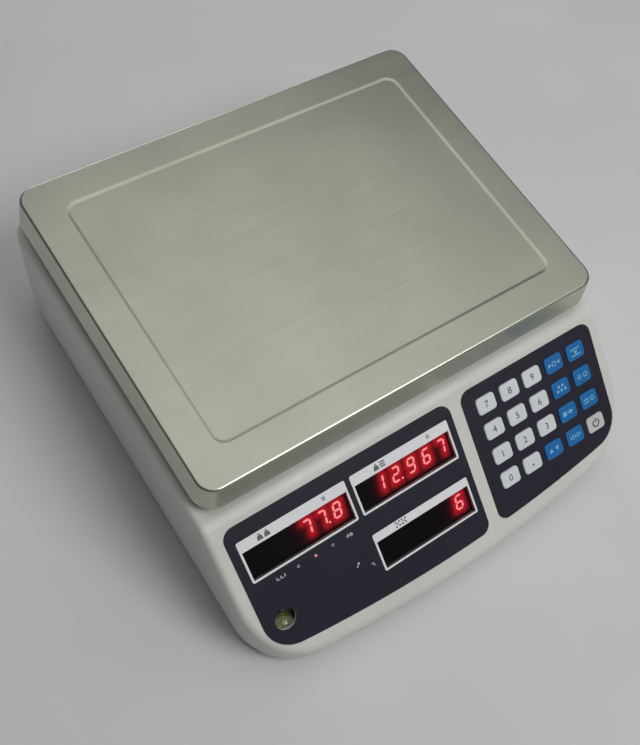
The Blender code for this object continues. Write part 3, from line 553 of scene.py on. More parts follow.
def window_cutters(bottom, top, bm):
    """Adds solids that cut the windows, and a hole straight above the vial."""
    for node in WINDOWS:
        prism(window_outline(node), bottom, top, bm)
    centre = node_centre("level_vial")
    centre.z = DECK_Z + (centre.y - CREASE_Y) * tan(CONSOLE_TILT)
    rod((WORLD_TO_CONSOLE @ centre).xy, VIAL_HOLE_RADIUS, bottom, top, 48, bm)
    return bm


def key_cutters(bottom, top, bm):
    for node in key_nodes():
        prism(key_outline(node, GAP), bottom, top, bm)
    return bm


def make_top_case():
    parting_margin = 0.002

    def is_rounded(edge):
        middle_z = (edge.verts[0].co.z + edge.verts[1].co.z) / 2
        return edge.calc_face_angle(0) > radians(25) and middle_z > CASE_LOW.z + parting_margin

    shell = prism(case_outline(), CASE_LOW.z, DECK_Z)
    cut_at_console(shell, 0)
    bmesh.ops.recalc_face_normals(shell, faces=shell.faces)
    edges = [edge for edge in shell.edges if is_rounded(edge)]
    rounding = {"offset": EDGE_ROUNDING, "offset_type": "OFFSET", "segments": 8, "profile": 0.5}
    bmesh.ops.bevel(shell, geom=edges, affect="EDGES", **rounding)

    cavity = prism(case_outline(WALL), CASE_LOW.z - OVERCUT, DECK_Z - WALL)
    cut_at_console(cavity, WALL)

    columns = bmesh.new()
    for number in NUMBERS:
        place, _, _, screw_top = round_node(f"case_screw_{number}")
        rod(place, SCREW_COLUMN_RADIUS, screw_top, DECK_Z - WALL / 2, 24, columns)

    recesses = bmesh.new()
    for node in ("display_overlay", "keypad_overlay"):
        prism(panel_outline(node, GAP), -RECESS_DEPTH, OVERCUT, recesses)
    openings = key_cutters(-2 * WALL, WALL, window_cutters(-2 * WALL, WALL, bmesh.new()))

    holes = bmesh.new()
    for number in NUMBERS:
        place = node_centre(f"pan_bumper_{number}").xy
        rod(place, DECK_HOLE_RADIUS, DECK_Z - 2 * WALL, DECK_Z + WALL, 48, holes)
    inlet = node_centre("power_inlet")
    half_height = INLET_SIZE[1] / 2 + GAP
    opening = rectangle(INLET_SIZE[0] + 2 * GAP, 4 * WALL, (inlet.x, CASE_HALF_DEPTH))
    prism(opening, inlet.z - half_height, inlet.z + half_height, holes)

    steps = (CUT, cavity), (JOIN, columns), (CUT, tilted(recesses)), (CUT, tilted(openings)), (CUT, holes)
    shell = combined(shell, *steps)
    for vert in shell.verts:
        vert.co.x = max(-CASE_HALF_WIDTH, min(CASE_HALF_WIDTH, vert.co.x))
    piece("top_case_shell", shell, "base", "case_plastic", ["top_case"], crisp=True)


# --- Pan ---


def pan_skin(sheet):
    """Layers from the pressed middle over the edge and down the skirt, moved in by the sheet."""
    steps, corner_steps, hem = 8, 16, 0.0002
    layers = []
    for step in range(steps + 1):
        share = step / steps
        rise = DISH_DEPTH * (3 - 2 * share) * share**2
        grow = DISH_SLOPE * share
        outline = round_rectangle(*DISH_SIZE, DISH_CORNER_RADIUS, corner_steps, PAN_CENTRE, -grow)
        layers.append((outline, PAN_TOP_Z - DISH_DEPTH + rise - sheet))

    def add_layer(inset, height):
        outline = round_rectangle(*PAN_SIZE, PAN_CORNER_RADIUS, corner_steps, PAN_CENTRE, inset)
        layers.append((outline, height))

    slant = atan2(PAN_SKIRT_DRAFT, PAN_TOP_Z - PAN_LOW.z)
    radius = PAN_EDGE_RADIUS
    turn = pi / 2 - slant
    centre_inset = PAN_SKIRT_DRAFT + radius * tan(turn / 2)
    for step in range(steps + 1):
        angle = step / steps * turn
        across, up = (radius - sheet) * sin(angle), (radius - sheet) * cos(angle)
        add_layer(centre_inset - across, PAN_TOP_Z - radius + up)
    side = sheet / cos(slant)
    add_layer(side + hem * tan(slant), PAN_LOW.z + hem)
    add_layer(side + (hem if sheet == 0 else -hem), PAN_LOW.z)
    return layers


def make_pan():
    skin = stacked(pan_skin(0) + pan_skin(PAN_SHEET)[::-1])
    piece("weighing_pan", skin, "pan", "stainless", ["pan"], crisp=True)


# --- Console films and windows ---


def film_piece(name, bm, material):
    """A piece built in the console's axes on or in one of the films."""
    piece(name, tilted(bm), "base", "overlay_film", material=material)


def make_films():
    for name, add_cutters in (("display", window_cutters), ("keypad", key_cutters)):
        node = f"{name}_overlay"
        cutters = add_cutters(-2 * FILM_SHEET, FILM_SHEET, bmesh.new())
        film = combined(prism(panel_outline(node), -FILM_SHEET, 0), (CUT, cutters))
        piece(f"{name}_film", tilted(film), "base", "overlay_film", [node], crisp=True)


def make_windows():
    """A smoked pane in each window, in a white printed frame with a broad header."""
    clearance, sharp_corner = 0.00005, 0.0002
    for node in WINDOWS:
        name = node.removeprefix("led_")
        film_piece(f"window_{name}", prism(window_outline(node, -clearance), -FILM_SHEET, -clearance), SMOKED)
        centre = console_centre(node).xy
        header = FRAME_HEADERS[node]
        width = WINDOW_SIZE[0] + 2 * FRAME_BORDER
        height = WINDOW_SIZE[1] + FRAME_BORDER + header
        middle = (centre.x, centre.y + (header - FRAME_BORDER) / 2)
        outer = round_rectangle(width, height, FRAME_CORNER_RADIUS, centre=middle)
        inner = round_rectangle(*WINDOW_SIZE, sharp_corner, centre=centre)
        film_piece(f"frame_{name}", frame_ring(outer, inner, -INK_SUNK, INK), WHITE_INK)


def prints(solids, rings=(), surface=0.0):
    """Flat prints on a surface from outlines, and from rings as (x, y, outer radius, inner radius)."""
    bm = bmesh.new()
    bottom, top = surface - INK_SUNK, surface + INK
    for outline in solids:
        prism(outline, bottom, top, bm)
    for x, y, outer, inner in rings:
        frame_ring(circle(outer, 24, (x, y)), circle(inner, 24, (x, y)), bottom, top, bm)
    return bm


def bar(x, y, width, height):
    return rectangle(width, height, (x, y))


def placed(sign, x, y, size):
    """A sign's outlines and rings, about (x, y) at a size."""
    solids, rings = sign
    solids = [[(x + size * u, y + size * v) for u, v in outline] for outline in solids]
    return solids, [(x + size * u, y + size * v, size * outer, size * inner) for u, v, outer, inner in rings]


# Signs about their own middles, as outlines and rings: a balance weight, a stack, and loose things to count.
WEIGHT_SIGN = ([[(-0.5, -0.5), (0.5, -0.5), (0.33, 0.18), (-0.33, 0.18)]], [(0, 0.33, 0.2, 0.1)])
STACK_SIGN = ([bar(0, step, 0.9, 0.2) for step in (-0.36, 0, 0.36)], [])
LOOSE_THINGS = ((-0.3, -0.3), (0.3, -0.3), (0, 0.05), (-0.32, 0.38), (0.32, 0.38))
COUNT_SIGN = ([circle(0.16, 14, place) for place in LOOSE_THINGS], [])
HEADER_SIGN_SIZE = 0.0041
# The signs on each frame's header, with their distance to the right of the window's middle.
HEADER_SIGNS = {
    "led_weight": ((WEIGHT_SIGN, -0.0226), (WEIGHT_SIGN, -0.0179), (STACK_SIGN, 0.0213)),
    "led_unit_weight": ((WEIGHT_SIGN, -0.0185), (STACK_SIGN, -0.0138), (STACK_SIGN, 0.0210)),
    "led_count": ((COUNT_SIGN, -0.0184), (COUNT_SIGN, -0.0138)),
}


def make_film_signs():
    """Grey signs on the frames' headers, and pale signs and lamps on the film."""
    solids, rings = [], []
    for node, signs in HEADER_SIGNS.items():
        centre = console_centre(node)
        up = centre.y + WINDOW_SIZE[1] / 2 + FRAME_HEADERS[node] * 0.52
        for sign, across in signs:
            size = HEADER_SIGN_SIZE * (1 if across < 0 else 0.6)
            more_solids, more_rings = placed(sign, centre.x + across, up, size)
            solids += more_solids
            rings += more_rings
    film_piece("header_signs", prints(solids, rings, INK), GREY_INK)

    row = -0.0496
    left_lamp, lit_lamp, right_lamp = -0.1078, -0.0955, -0.0833
    solids = [bar(x, row, 0.0007, 0.0019) for x in (-0.1225, -0.1198, -0.1171)]
    solids += [bar(x, row - 0.0008, 0.0019, 0.0005) for x in (-0.1217, -0.1190)]
    solids += [circle(0.0006, 14, (x, row + 0.0004)) for x in (-0.0722, -0.0702)]
    solids += [bar(x, row - 0.0006, 0.0009, 0.0014) for x in (-0.0728, -0.0709, -0.0696)]
    solids += [circle(0.0008, 14, (-0.0729, -0.0697)), circle(0.0006, 14, (-0.0741, -0.0711))]
    solids += [bar(-0.0644, -0.0749, 0.0016, 0.0006), bar(-0.0636, -0.0757, 0.0006, 0.0022)]
    rings = [(x, row, 0.0009, 0.0006) for x in (left_lamp, lit_lamp, right_lamp)]
    film_piece("film_signs", prints(solids, rings), FADED_INK)
    lamp_radius = 0.00055
    film_piece("lamp_lit", prints([circle(lamp_radius, 16, (lit_lamp, row))]), LAMP_LIT)
    lamps = prints([circle(lamp_radius, 16, (x, row)) for x in (left_lamp, right_lamp)])
    film_piece("lamps_unlit", lamps, UNLIT)


# --- LED digits ---

SEGMENTS_OF = {"1": "bc", "2": "abdeg", "6": "acdefg", "7": "abc", "8": "abcdefg", "9": "abcdfg", " ": ""}
# Each display's reading, its digits' spacing, and how far its last digit is from its middle.
READINGS = {
    "led_weight": ("   77.8", 0.0106, 0.0281),
    "led_unit_weight": (" 12.967", 0.0119, 0.0299),
    "led_count": ("     6", 0.0117, 0.0288),
}
# The ends of each segment's middle line, for a digit that reaches one unit each way.
SEGMENT_ENDS = {
    "a": ((-1, 1), (1, 1)),
    "b": ((1, 0), (1, 1)),
    "c": ((1, -1), (1, 0)),
    "d": ((-1, -1), (1, -1)),
    "e": ((-1, -1), (-1, 0)),
    "f": ((-1, 0), (-1, 1)),
    "g": ((-1, 0), (1, 0)),
}


def slanted(points, centre):
    return [(centre[0] + x + y * DIGIT_SLANT, centre[1] + y) for x, y in points]


def segment_outline(start, end):
    """A bar with pointed ends, a little short of its neighbours."""
    start, end = Vector(start), Vector(end)
    along = (end - start).normalized()
    side = Vector((-along.y, along.x)) * DIGIT_STROKE / 2
    tip = along * DIGIT_STROKE / 2
    split = along * 0.00018
    first, last = start + split, end - split
    return [first, first + tip - side, last - tip - side, last, last - tip + side, first + tip + side]


def distance_to_bar(point, start, end):
    along = end - start
    share = max(0.0, min(1.0, (point - start).dot(along) / along.length_squared))
    return (start + along * share - point).length


def store_glow(bm, bars):
    """Stores each point's painted glow, which fades with its distance to the nearest lit bar."""
    glow = bm.verts.layers.float.new("glow")
    for vert in bm.verts:
        distance = min(distance_to_bar(vert.co.xy, *ends) for ends in bars)
        vert[glow] = 1 / (1 + (distance / GLOW_REACH) ** 4)


def fine_plate(size, centre, top):
    """A thin plate whose top is a fine grid."""
    spacing, sheet = 0.0005, 0.00003
    columns, rows = round(size[0] / spacing), round(size[1] / spacing)
    bm = bmesh.new()
    across = [centre[0] + (column / columns - 0.5) * size[0] for column in range(columns + 1)]
    along = [centre[1] + (row / rows - 0.5) * size[1] for row in range(rows + 1)]
    grid = [[bm.verts.new((x, y, top)) for x in across] for y in along]
    for lower, upper in zip(grid, grid[1:]):
        for i in range(columns):
            bm.faces.new((lower[i], lower[i + 1], upper[i + 1], upper[i]))
    back = bmesh.ops.extrude_face_region(bm, geom=bm.faces[:])
    back_verts = [item for item in back["geom"] if isinstance(item, bmesh.types.BMVert)]
    bmesh.ops.translate(bm, vec=(0, 0, -sheet), verts=back_verts)
    return bm


def make_digits():
    face_rim, plate_top = 0.0004, 0.00003
    size = [side - 2 * face_rim for side in WINDOW_SIZE]
    half_width, half_height = ((side - DIGIT_STROKE) / 2 for side in DIGIT_SIZE)
    point_radius, point_gap = DIGIT_STROKE * 0.55, 0.0006
    for node, (reading, pitch, last) in READINGS.items():
        name = node.removeprefix("led_")
        centre = console_centre(node)
        face = centre.z + LED_HEIGHT / 2
        bottom, top = face + SEGMENT_BOTTOM, face + SEGMENT_TOP
        lit, unlit, bars = bmesh.new(), bmesh.new(), []
        for cell, mark in enumerate(findall(r".\.?", reading)):
            middle = (centre.x + last - (DIGIT_CELLS - 1 - cell) * pitch, centre.y)
            for segment, ends in SEGMENT_ENDS.items():
                ends = [(x * half_width, y * half_height) for x, y in ends]
                is_lit = segment in SEGMENTS_OF[mark[0]]
                prism(slanted(segment_outline(*ends), middle), bottom, top, lit if is_lit else unlit)
                if is_lit:
                    bars.append([Vector(end) for end in slanted(ends, middle)])
            dot = (middle[0] + DIGIT_SIZE[0] / 2 + point_gap, middle[1] - half_height)
            rod(dot, point_radius, bottom, top, 16, lit if mark.endswith(".") else unlit)
        plate = fine_plate(size, centre, face + plate_top)
        # The unlit segments and the face carry a painted red glow round the lit digits.
        store_glow(unlit, bars)
        store_glow(plate, bars)
        piece(f"{name}_segments_lit", tilted(lit), "base", "led_module", material=RED_LIT)
        piece(f"{name}_segments_unlit", tilted(unlit), "base", "led_module", material=RED_GLOW)
        piece(f"{name}_face", tilted(plate), "base", "led_module", material=RED_GLOW)


# --- Keys ---


def key_slot(node):
    return "key_blue" if "function" in node else "key_grey" if "power" in node else "key_white"


def on_key(bm, node):
    """Moves a shape from the console's origin to a key's middle."""
    centre = console_centre(node)
    bmesh.ops.translate(bm, vec=(centre.x, centre.y, 0), verts=bm.verts)
    return tilted(bm)


def make_key_caps():
    edge = 0.0006
    for node in key_nodes():
        levels = [(0, -KEY_BELOW)] + [(inset, KEY_PROUD - drop) for inset, drop in quarter_round(edge, 5)]
        layers = [(round_rectangle(*KEY_SIZE, KEY_CORNER_RADIUS, inset=inset), z) for inset, z in levels]
        piece(f"{node}_cap", on_key(stacked(layers), node), node, key_slot(node), [node], crisp=True)


def digit_shape(text, height):
    """A printed character about its own middle, as a thin flat shape."""
    curve = bpy.data.curves.new("character", "FONT")
    curve.body, curve.size, curve.align_x = text, height / 0.7, "CENTER"
    curve.extrude, curve.resolution_u = INK / 2, 4
    obj = add_object("character", curve)
    bm = bmesh.new()
    bm.from_mesh(obj.to_mesh())
    obj.to_mesh_clear()
    bpy.data.objects.remove(obj)
    bmesh.ops.remove_doubles(bm, verts=bm.verts, dist=0.000001)
    bmesh.ops.translate(bm, vec=(0, -height / 2, KEY_PROUD + INK / 2), verts=bm.verts)
    return bm


def triangle(x, y, size, angle):
    """A triangle about (x, y) that points towards the angle."""
    return arc((x, y), size, angle, angle + 2 * pi, 3)[:-1]


FUNCTION_SYMBOL_SCALE = 1.35
POWER_START, POWER_END = radians(120), radians(420)
POWER_RING = arc((0, 0), 3.1, POWER_START, POWER_END, 28) + arc((0, 0), 2.2, POWER_END, POWER_START, 28)
DOTS = ((-2.4, -0.9), (0, -0.9), (2.4, -0.9), (-1.2, 1.2), (1.2, 1.2))
STRIPES = ((-3, 1.6), (-1.5, 2.8), (0, 1.6), (1.5, 2.8), (3, 1.6))
# The outlines and the rings of each key's symbol, in millimetres.
KEY_SYMBOLS = {
    "function_1": ([triangle(-3, 0, 1.3, 0), triangle(3, 0, 1.3, pi)], [(0, 0, 1.4, 0.9)]),
    "function_2": ([bar(0, 1.2, 6, 0.6), triangle(0, -0.5, 1.4, -pi / 2), bar(0, -2, 6, 0.6)], []),
    "function_3": ([circle(0.8, 16, place) for place in DOTS], []),
    "function_4": ([bar(-2, 0, 3, 0.7), bar(-2, 0, 0.7, 3)], [(2, 0, 1.4, 0.9)]),
    "function_5": ([bar(-2.4, 0, 2.4, 2.4), triangle(1.6, 0, 1.6, 0), bar(0.2, 0, 1.6, 0.7)], []),
    "function_6": ([bar(-2, 0.8, 3.2, 0.7), bar(-2, -0.8, 3.2, 0.7)], [(2, 0, 1.4, 0.9)]),
    "function_7": ([triangle(-2, -0.2, 1.6, pi / 2), triangle(2, 0.2, 1.6, -pi / 2)], []),
    "function_8": ([bar(x, 0, 0.7, tall) for x, tall in STRIPES], []),
    "power": ([POWER_RING, bar(0, 2.2, 0.9, 3.0)], []),
    "point": ([circle(0.75, 20, (0, -1.2))], []),
}


def make_key_marks():
    digit_height = 0.0046
    for node in key_nodes():
        mark = node.removeprefix("key_")
        is_function = mark.startswith("function")
        if mark in KEY_SYMBOLS:
            size = MM * FUNCTION_SYMBOL_SCALE if is_function else MM
            bm = prints(*placed(KEY_SYMBOLS[mark], 0, 0, size), surface=KEY_PROUD)
        else:
            bm = digit_shape(mark, digit_height)
        ink = PALE_INK if is_function else DARK_INK
        piece(f"{node}_mark", on_key(bm, node), node, key_slot(node), material=ink)


# --- Lower case ---


def plate_corners(node, inset_x, inset_y):
    low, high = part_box(node)
    return [(x, y) for x in (low.x + inset_x, high.x - inset_x) for y in (low.y + inset_y, high.y - inset_y)]


def seat(node):
    """How high something that holds a node from below may reach."""
    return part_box(node)[0].z - GAP


def make_tray():
    """The lower case, with a lip inside the shell, bosses, a battery bay and holes."""
    lip, lip_wall, lip_top = WALL + GAP, 0.0015, 0.0165
    parting, bottom, floor_top = CASE_LOW.z - GAP, TRAY_LOW.z, TRAY_LOW.z + WALL
    edge, inner = 0.0012, lip + lip_wall
    layers = [(case_outline(inset), bottom + rise) for rise, inset in quarter_round(edge, 4)]
    steps = (0, parting), (lip, parting), (lip, lip_top), (inner, lip_top), (inner, floor_top)
    layers += [(case_outline(inset), z) for inset, z in steps]
    tray = stacked(layers)

    inside = floor_top - WALL / 2
    door_low, door_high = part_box("battery_door")
    door = door_high - door_low
    door_middle = node_centre("battery_door")
    travel, bay_wall, bay_floor, bay_opening = 0.010, 0.0045, 0.0145, (0.105, 0.072)
    slide_middle = (door_middle.x, door_middle.y - travel / 2)
    bay_outline = rectangle(door.x + 2 * bay_wall, door.y + travel + 2 * bay_wall, slide_middle)
    bay = prism(bay_outline, inside, bay_floor)

    screws = [node_centre(f"case_screw_{number}").xy for number in NUMBERS]
    feet = [node_centre(f"foot_pad_{corner}").xy for corner in FOOT_CORNERS]
    screw_boss_top = 0.022
    bosses = bmesh.new()
    for place in feet:
        rod(place, 0.010, inside, TRAY_HIGH.z, 36, bosses)
    for place in screws:
        rod(place, 0.006, inside, screw_boss_top, 28, bosses)
    for place in plate_corners("chassis_plate", 0.007, 0.006):
        rod(place, 0.005, inside, seat("chassis_plate"), 24, bosses)
    for place in plate_corners("main_board", 0.005, 0.005):
        rod(place, 0.0035, inside, seat("main_board"), 20, bosses)
    rod(node_centre("level_vial").xy, 0.0050, inside, seat("level_vial"), 28, bosses)

    holes = bmesh.new()
    below = bottom - OVERCUT
    pocket, pocket_top, thread, thread_top = 0.0075, 0.0145, 0.0033, TRAY_HIGH.z + OVERCUT
    head, head_top, shank, shank_top = 0.0042, 0.0142, 0.0023, screw_boss_top + OVERCUT
    foot_hole = [(pocket, below), (pocket, pocket_top), (thread, pocket_top), (thread, thread_top)]
    screw_hole = [(head, below), (head, head_top), (shank, head_top), (shank, shank_top)]
    for place in feet:
        turned(foot_hole, 40, place, holes)
    for place in screws:
        turned(screw_hole, 32, place, holes)
    prism(rectangle(*bay_opening, door_middle.xy), below, bay_floor + OVERCUT, holes)

    slide = rectangle(door.x + 2 * GAP, door.y + travel + 2 * GAP, slide_middle)
    recess = prism(slide, below, bottom + door.z + GAP)
    tray = combined(tray, (JOIN, bay), (JOIN, bosses), (CUT, holes), (CUT, recess))
    piece("case_tray", tray, "base", "case_plastic", ["bottom_case"], crisp=True)


def make_door():
    """The battery door, with four finger grooves."""
    low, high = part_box("battery_door")
    middle = ((low + high) / 2).xy
    size = (high - low).xy
    edge, corner_radius = 0.0004, 0.0015
    outline = round_rectangle(*size, corner_radius, centre=middle)
    bottom_outline = round_rectangle(*size, corner_radius, centre=middle, inset=edge)
    panel = stacked([(bottom_outline, low.z), (outline, low.z + edge), (outline, high.z)])
    groove_size, groove_end_radius, groove_depth = (0.026, 0.0016), 0.0007, 0.0008
    first_groove, groove_pitch = 0.018, 0.004
    grooves = bmesh.new()
    for step in range(4):
        place = (middle.x, middle.y + first_groove + groove_pitch * step)
        groove = round_rectangle(*groove_size, groove_end_radius, 5, place)
        prism(groove, low.z - OVERCUT, low.z + groove_depth, grooves)
    door = combined(panel, (CUT, grooves))
    piece("door_panel", door, "battery_door", "case_plastic", ["battery_door"], crisp=True)


def make_case_screws():
    """Self-tapping screws with a cross in their heads."""
    thread, root, pitch, point = 0.0017, 0.0013, 0.0012, 0.0004
    slot_length, slot_width, slot_depth = 0.0036, 0.0009, 0.0011
    for number in NUMBERS:
        node = f"case_screw_{number}"
        place, radius, low, high = round_node(node)
        profile = [(radius - 0.0006, low), (radius - 0.0001, low + 0.0004), (radius, low + 0.0009)]
        profile += [(radius, low + 0.0020), (root, low + 0.0026)]
        z = low + 0.0038
        while z < high - 2 * pitch:
            profile += [(root, z - pitch / 4), (thread, z), (root, z + pitch / 4)]
            z += pitch
        profile.append((point, high))
        sizes = (slot_length, slot_width), (slot_width, slot_length)
        slots = [(CUT, prism(rectangle(*size, place), low - OVERCUT, low + slot_depth)) for size in sizes]
        screw = combined(turned(profile, 20, place), *slots)
        piece(f"bottom_screw_{number}", screw, "base", "zinc_steel", [node])


# --- Small parts ---


def make_vial():
    """A cup of yellow-green fluid with a ring round its bubble."""
    place, radius, low, high = round_node("level_vial")
    edge, rim, cup_floor, fluid_drop, fit = 0.0004, 0.0008, 0.0015, 0.0009, 0.0001
    cup = [(radius - edge, low), (radius, low + edge), (radius, high - edge), (radius - edge, high)]
    cup += [(radius - rim, high), (radius - rim, low + cup_floor)]
    piece("vial_cup", turned(cup, 48, place), "base", "vial", ["level_vial"])
    fluid_radius, fluid_z = radius - rim - fit, high - fluid_drop
    fluid = rod(place, fluid_radius, low + cup_floor + fit, fluid_z, 48)
    piece("vial_fluid", fluid, "base", "vial", material=VIAL_FLUID)
    outer, inner = circle(0.0029, 48, place), circle(0.0025, 48, place)
    ring = frame_ring(outer, inner, fluid_z - INK, fluid_z + INK)
    piece("vial_ring", ring, "base", "vial")
    bubble = [(0.0020, -0.00002), (0.0019, 0.0002), (0.0015, 0.0004), (0.0008, 0.0005), (0.0002, 0.00052)]
    dome = turned([(dome_radius, fluid_z + rise) for dome_radius, rise in bubble], 32, place)
    piece("vial_bubble", dome, "base", "vial", material=BUBBLE)


def polar(radii, centre):
    """An outline with a point at each of the radii, evenly round its centre."""
    x, y = centre
    turns = [2 * pi * step / len(radii) for step in range(len(radii))]
    return [(x + radius * cos(turn), y + radius * sin(turn)) for radius, turn in zip(radii, turns)]


def knurled(outer, depth, teeth, centre):
    """A circle with shallow square notches, four points to a tooth."""
    return polar([outer, outer, outer - depth, outer - depth] * teeth, centre)


def hexagon(corner_radius, sides, centre, chamfer=0.0):
    """A hexagon with many points to each side, its corners cut back by chamfer."""
    flat = corner_radius * cos(pi / 6)
    turns = [2 * pi * step / sides for step in range(sides)]
    return polar([min(flat / cos(turn % (pi / 3) - pi / 6), corner_radius - chamfer) for turn in turns], centre)


def make_foot_pad(name, teeth=28):
    """A rubber pad: treads underneath, a knurled side, and a hollow for the stud."""
    node = f"foot_pad_{name}"
    place, radius, _, high = round_node(node)
    tread, wall, notch, clearance = 0.0005, 0.0002, 0.0004, 0.00002
    hollow_radius, hollow_floor = 0.0053, 0.0025

    def rings(*points):
        return [(circle(ring_radius, teeth * 4, place), z) for ring_radius, z in points]

    layers = []
    for inner, outer in ((0.0030, 0.0052), (0.0066, 0.0088)):
        layers += rings((inner - wall, tread), (inner, 0), (outer, 0), (outer + wall, tread))
    layers += rings((0.0102, tread), (0.0104, 0), (radius - 0.0010, 0))
    for z, depth in ((0.0009, 0), (0.0013, notch), (high - 0.0014, notch), (high - 0.0010, 0)):
        layers.append((knurled(radius - clearance, depth, teeth, place), z))
    layers += rings((radius - 0.0006, high - 0.0003), (radius - 0.0012, high))
    layers += rings((hollow_radius, high), (hollow_radius, hollow_floor))
    piece(f"foot_{name}_rubber", stacked(layers), node, "rubber", [node])


def make_foot_stud(name, sides=24):
    """A stud with a round end for the pad, a hexagon and a ridged thread."""
    node = f"foot_screw_{name}"
    place, corner, low, high = round_node(node)
    hex_bottom, hex_top, chamfer = 0.0058, 0.0093, 0.0005
    end_radius, edge = 0.0050, 0.0003
    thread, root, pitch, tip = 0.0030, 0.0026, 0.0010, 0.0004
    end = circle(end_radius, sides, place)
    full, cut = hexagon(corner, sides, place), hexagon(corner, sides, place, chamfer)
    crest, valley = circle(thread, sides, place), circle(root, sides, place)
    layers = [(circle(end_radius - edge, sides, place), low), (end, low + edge), (end, hex_bottom)]
    layers += [(cut, hex_bottom), (full, hex_bottom + chamfer), (full, hex_top - chamfer)]
    layers += [(cut, hex_top), (valley, hex_top)]
    z = hex_top + pitch
    while z < high - 1.2 * pitch:
        layers += [(crest, z), (valley, z + pitch / 2)]
        z += pitch
    layers += [(valley, high - tip), (circle(root - tip, sides, place), high)]
    piece(f"foot_{name}_stud", stacked(layers), node, "zinc_steel", [node])


def make_rests():
    """Soft-edged rubber caps over the spider's posts."""
    post_radius, post_top, edge, lower_edge = 0.0073, 0.1003, 0.0015, 0.0003
    for number in NUMBERS:
        node = f"pan_bumper_{number}"
        place, radius, low, high = round_node(node)
        profile = [(post_radius, post_top), (post_radius, low)]
        profile += [(radius - lower_edge, low), (radius, low + lower_edge)]
        profile += [(radius - inset, high - drop) for inset, drop in quarter_round(edge, 5)]
        piece(f"rest_cap_{number}", turned(profile, 48, place), "platform", "rubber", [node])


def make_inlet():
    """A two-pin inlet with a rounded mouth, its face level with the rear wall."""
    low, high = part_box("power_inlet")
    middle = (low + high) / 2
    facing_rear = Matrix.Translation((middle.x, high.y, middle.z)) @ Matrix.Rotation(pi / 2, 4, "X")
    edge, corner_radius = 0.0004, 0.0014
    outline = round_rectangle(*INLET_SIZE, corner_radius)
    face_outline = round_rectangle(*INLET_SIZE, corner_radius, inset=edge)
    body = stacked([(face_outline, 0), (outline, edge), (outline, high.y - low.y)])
    flange_size, flange_sheet, behind_wall = (0.0300, 0.0160), 0.002, WALL + GAP
    flange = prism(rectangle(*flange_size), behind_wall, behind_wall + flange_sheet)
    mouth, mouth_radius, lead_in, socket_depth = (0.0170, 0.0086), 0.0042, 0.0006, 0.0125
    mouth_outline = round_rectangle(*mouth, mouth_radius, 12)
    wide_outline = round_rectangle(*(side + 4 * lead_in for side in mouth), mouth_radius, 12)
    socket = stacked([(wide_outline, -lead_in), (mouth_outline, lead_in), (mouth_outline, socket_depth)])
    shape = combined(body, (JOIN, flange), (CUT, socket))
    piece("inlet_housing", moved(shape, facing_rear), "base", "black_plastic", ["power_inlet"], crisp=True)
    pins = bmesh.new()
    pin_profile = [(0.0006, 0.0030), (0.0011, 0.0034), (0.0012, 0.0040), (0.0012, socket_depth - 0.0001)]
    pin_x = 0.0043
    for x in (-pin_x, pin_x):
        turned(pin_profile, 24, (x, 0), pins)
    piece("inlet_pins", moved(pins, facing_rear), "base", "zinc_steel", material=BRASS_PIN)


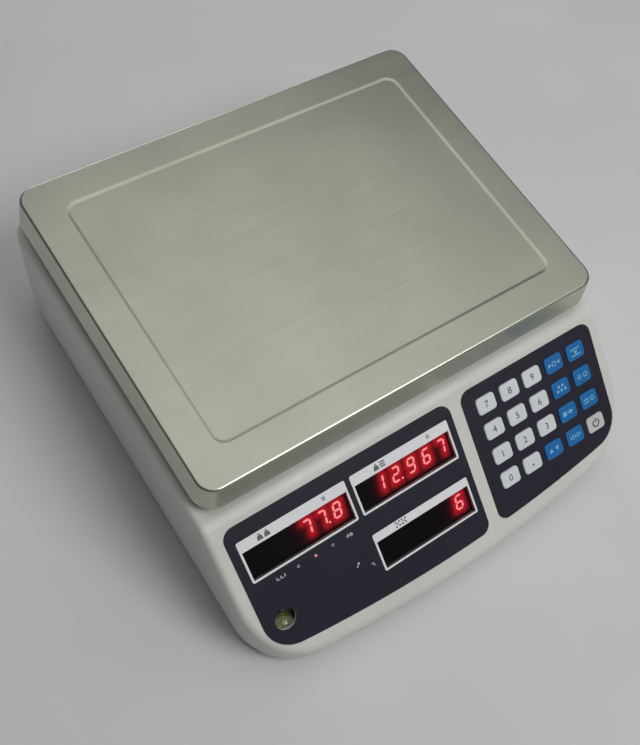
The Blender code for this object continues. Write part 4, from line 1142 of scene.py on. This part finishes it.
def make_load_cell():
    """The load cell: a bar with a cut-through web and screw holes at each end. In the scale its left end stays
    with the base and its right end goes down with the platform; here it rides on no body.
    """
    low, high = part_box("load_cell")
    middle = (low + high) / 2
    size = high - low
    edge, slices = 0.0006, 26
    loops = []
    for step in range(slices + 1):
        inset = edge if step in (0, slices) else 0.0
        section = round_rectangle(size.y - 2 * inset, size.z - 2 * inset, edge, 2)
        x = low.x + size.x * step / slices
        loops.append([(x, middle.y + y, middle.z + z) for y, z in section])

    web_radius, spread = 0.0072, 0.014
    right = arc((spread, 0), web_radius, -pi / 2, pi / 2, 20)
    left = arc((-spread, 0), web_radius, pi / 2, 1.5 * pi, 20)
    on_side = Matrix.Translation(middle) @ Matrix.Rotation(pi / 2, 4, "X")
    web = moved(prism(right + left, -size.y, size.y), on_side)
    holes = bmesh.new()
    reach, screw_radius = 0.0160, 0.0033
    for along in (0.042, 0.058):
        rod((-along, middle.y), screw_radius, low.z - OVERCUT, low.z + reach, 32, holes)
        rod((along, middle.y), screw_radius, high.z - reach, high.z + OVERCUT, 32, holes)
    shape = combined(loft(loops), (CUT, web), (CUT, holes))
    cell = piece("load_cell_bar", shape, None, "load_cell_aluminium", ["load_cell"], crisp=True)
    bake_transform(cell)


# --- Stage ---


def make_floor():
    material = look("pale_table", (0.70, 0.70, 0.70), 0.7)
    tint(material, noise(material, 3.0, 5), (0.67, 0.67, 0.67), (0.73, 0.73, 0.73))
    floor = mesh_object("floor", prism(rectangle(6, 6), -0.01, 0))
    floor.data.materials.append(material)


def make_light(name, location, size, power):
    """A round lamp that faces the scale."""
    light = bpy.data.lights.new(name, "AREA")
    light.shape, light.size, light.energy = "DISK", size, power
    obj = add_object(name, light)
    obj.location = location
    to_scale = Vector((0, 0, 0.06)) - obj.location
    obj.rotation_euler = to_scale.to_track_quat("-Z", "Y").to_euler()


def make_world(colour, strength):
    world = bpy.data.worlds.new("studio")
    bpy.context.scene.world = world
    world.use_nodes = True
    set_inputs(world.node_tree.nodes["Background"], Color=(*colour, 1.0), Strength=strength)


def make_camera():
    camera = bpy.data.cameras.new("camera")
    camera.lens, camera.shift_x, camera.shift_y = 43.3, -0.0455, 0.0310
    obj = add_object("camera", camera)
    obj.location = (-0.2297, -0.1997, 0.5713)
    obj.rotation_euler = (radians(26.101), radians(-9.318), radians(-34.471))
    bpy.context.scene.camera = obj


def make_stage():
    bpy.context.scene.view_settings.view_transform = "Standard"
    make_floor()
    make_world((0.95, 0.97, 1.0), 0.085)
    make_light("overhead_light", (0.27, 0.24, 1.75), 2.3, 9.5)
    make_light("key_light", (0.48, -0.94, 1.6), 0.9, 14)
    make_light("back_fill", (0.4, 1.9, 0.6), 1.0, 5)
    make_camera()


make_stage()
finish_cad_nodes()
make_top_case()
make_pan()
make_films()
make_windows()
make_film_signs()
make_digits()
make_key_caps()
make_key_marks()
make_tray()
make_door()
make_case_screws()
make_vial()
for corner in FOOT_CORNERS:
    make_foot_pad(corner)
    make_foot_stud(corner)
make_rests()
make_inlet()
make_load_cell()
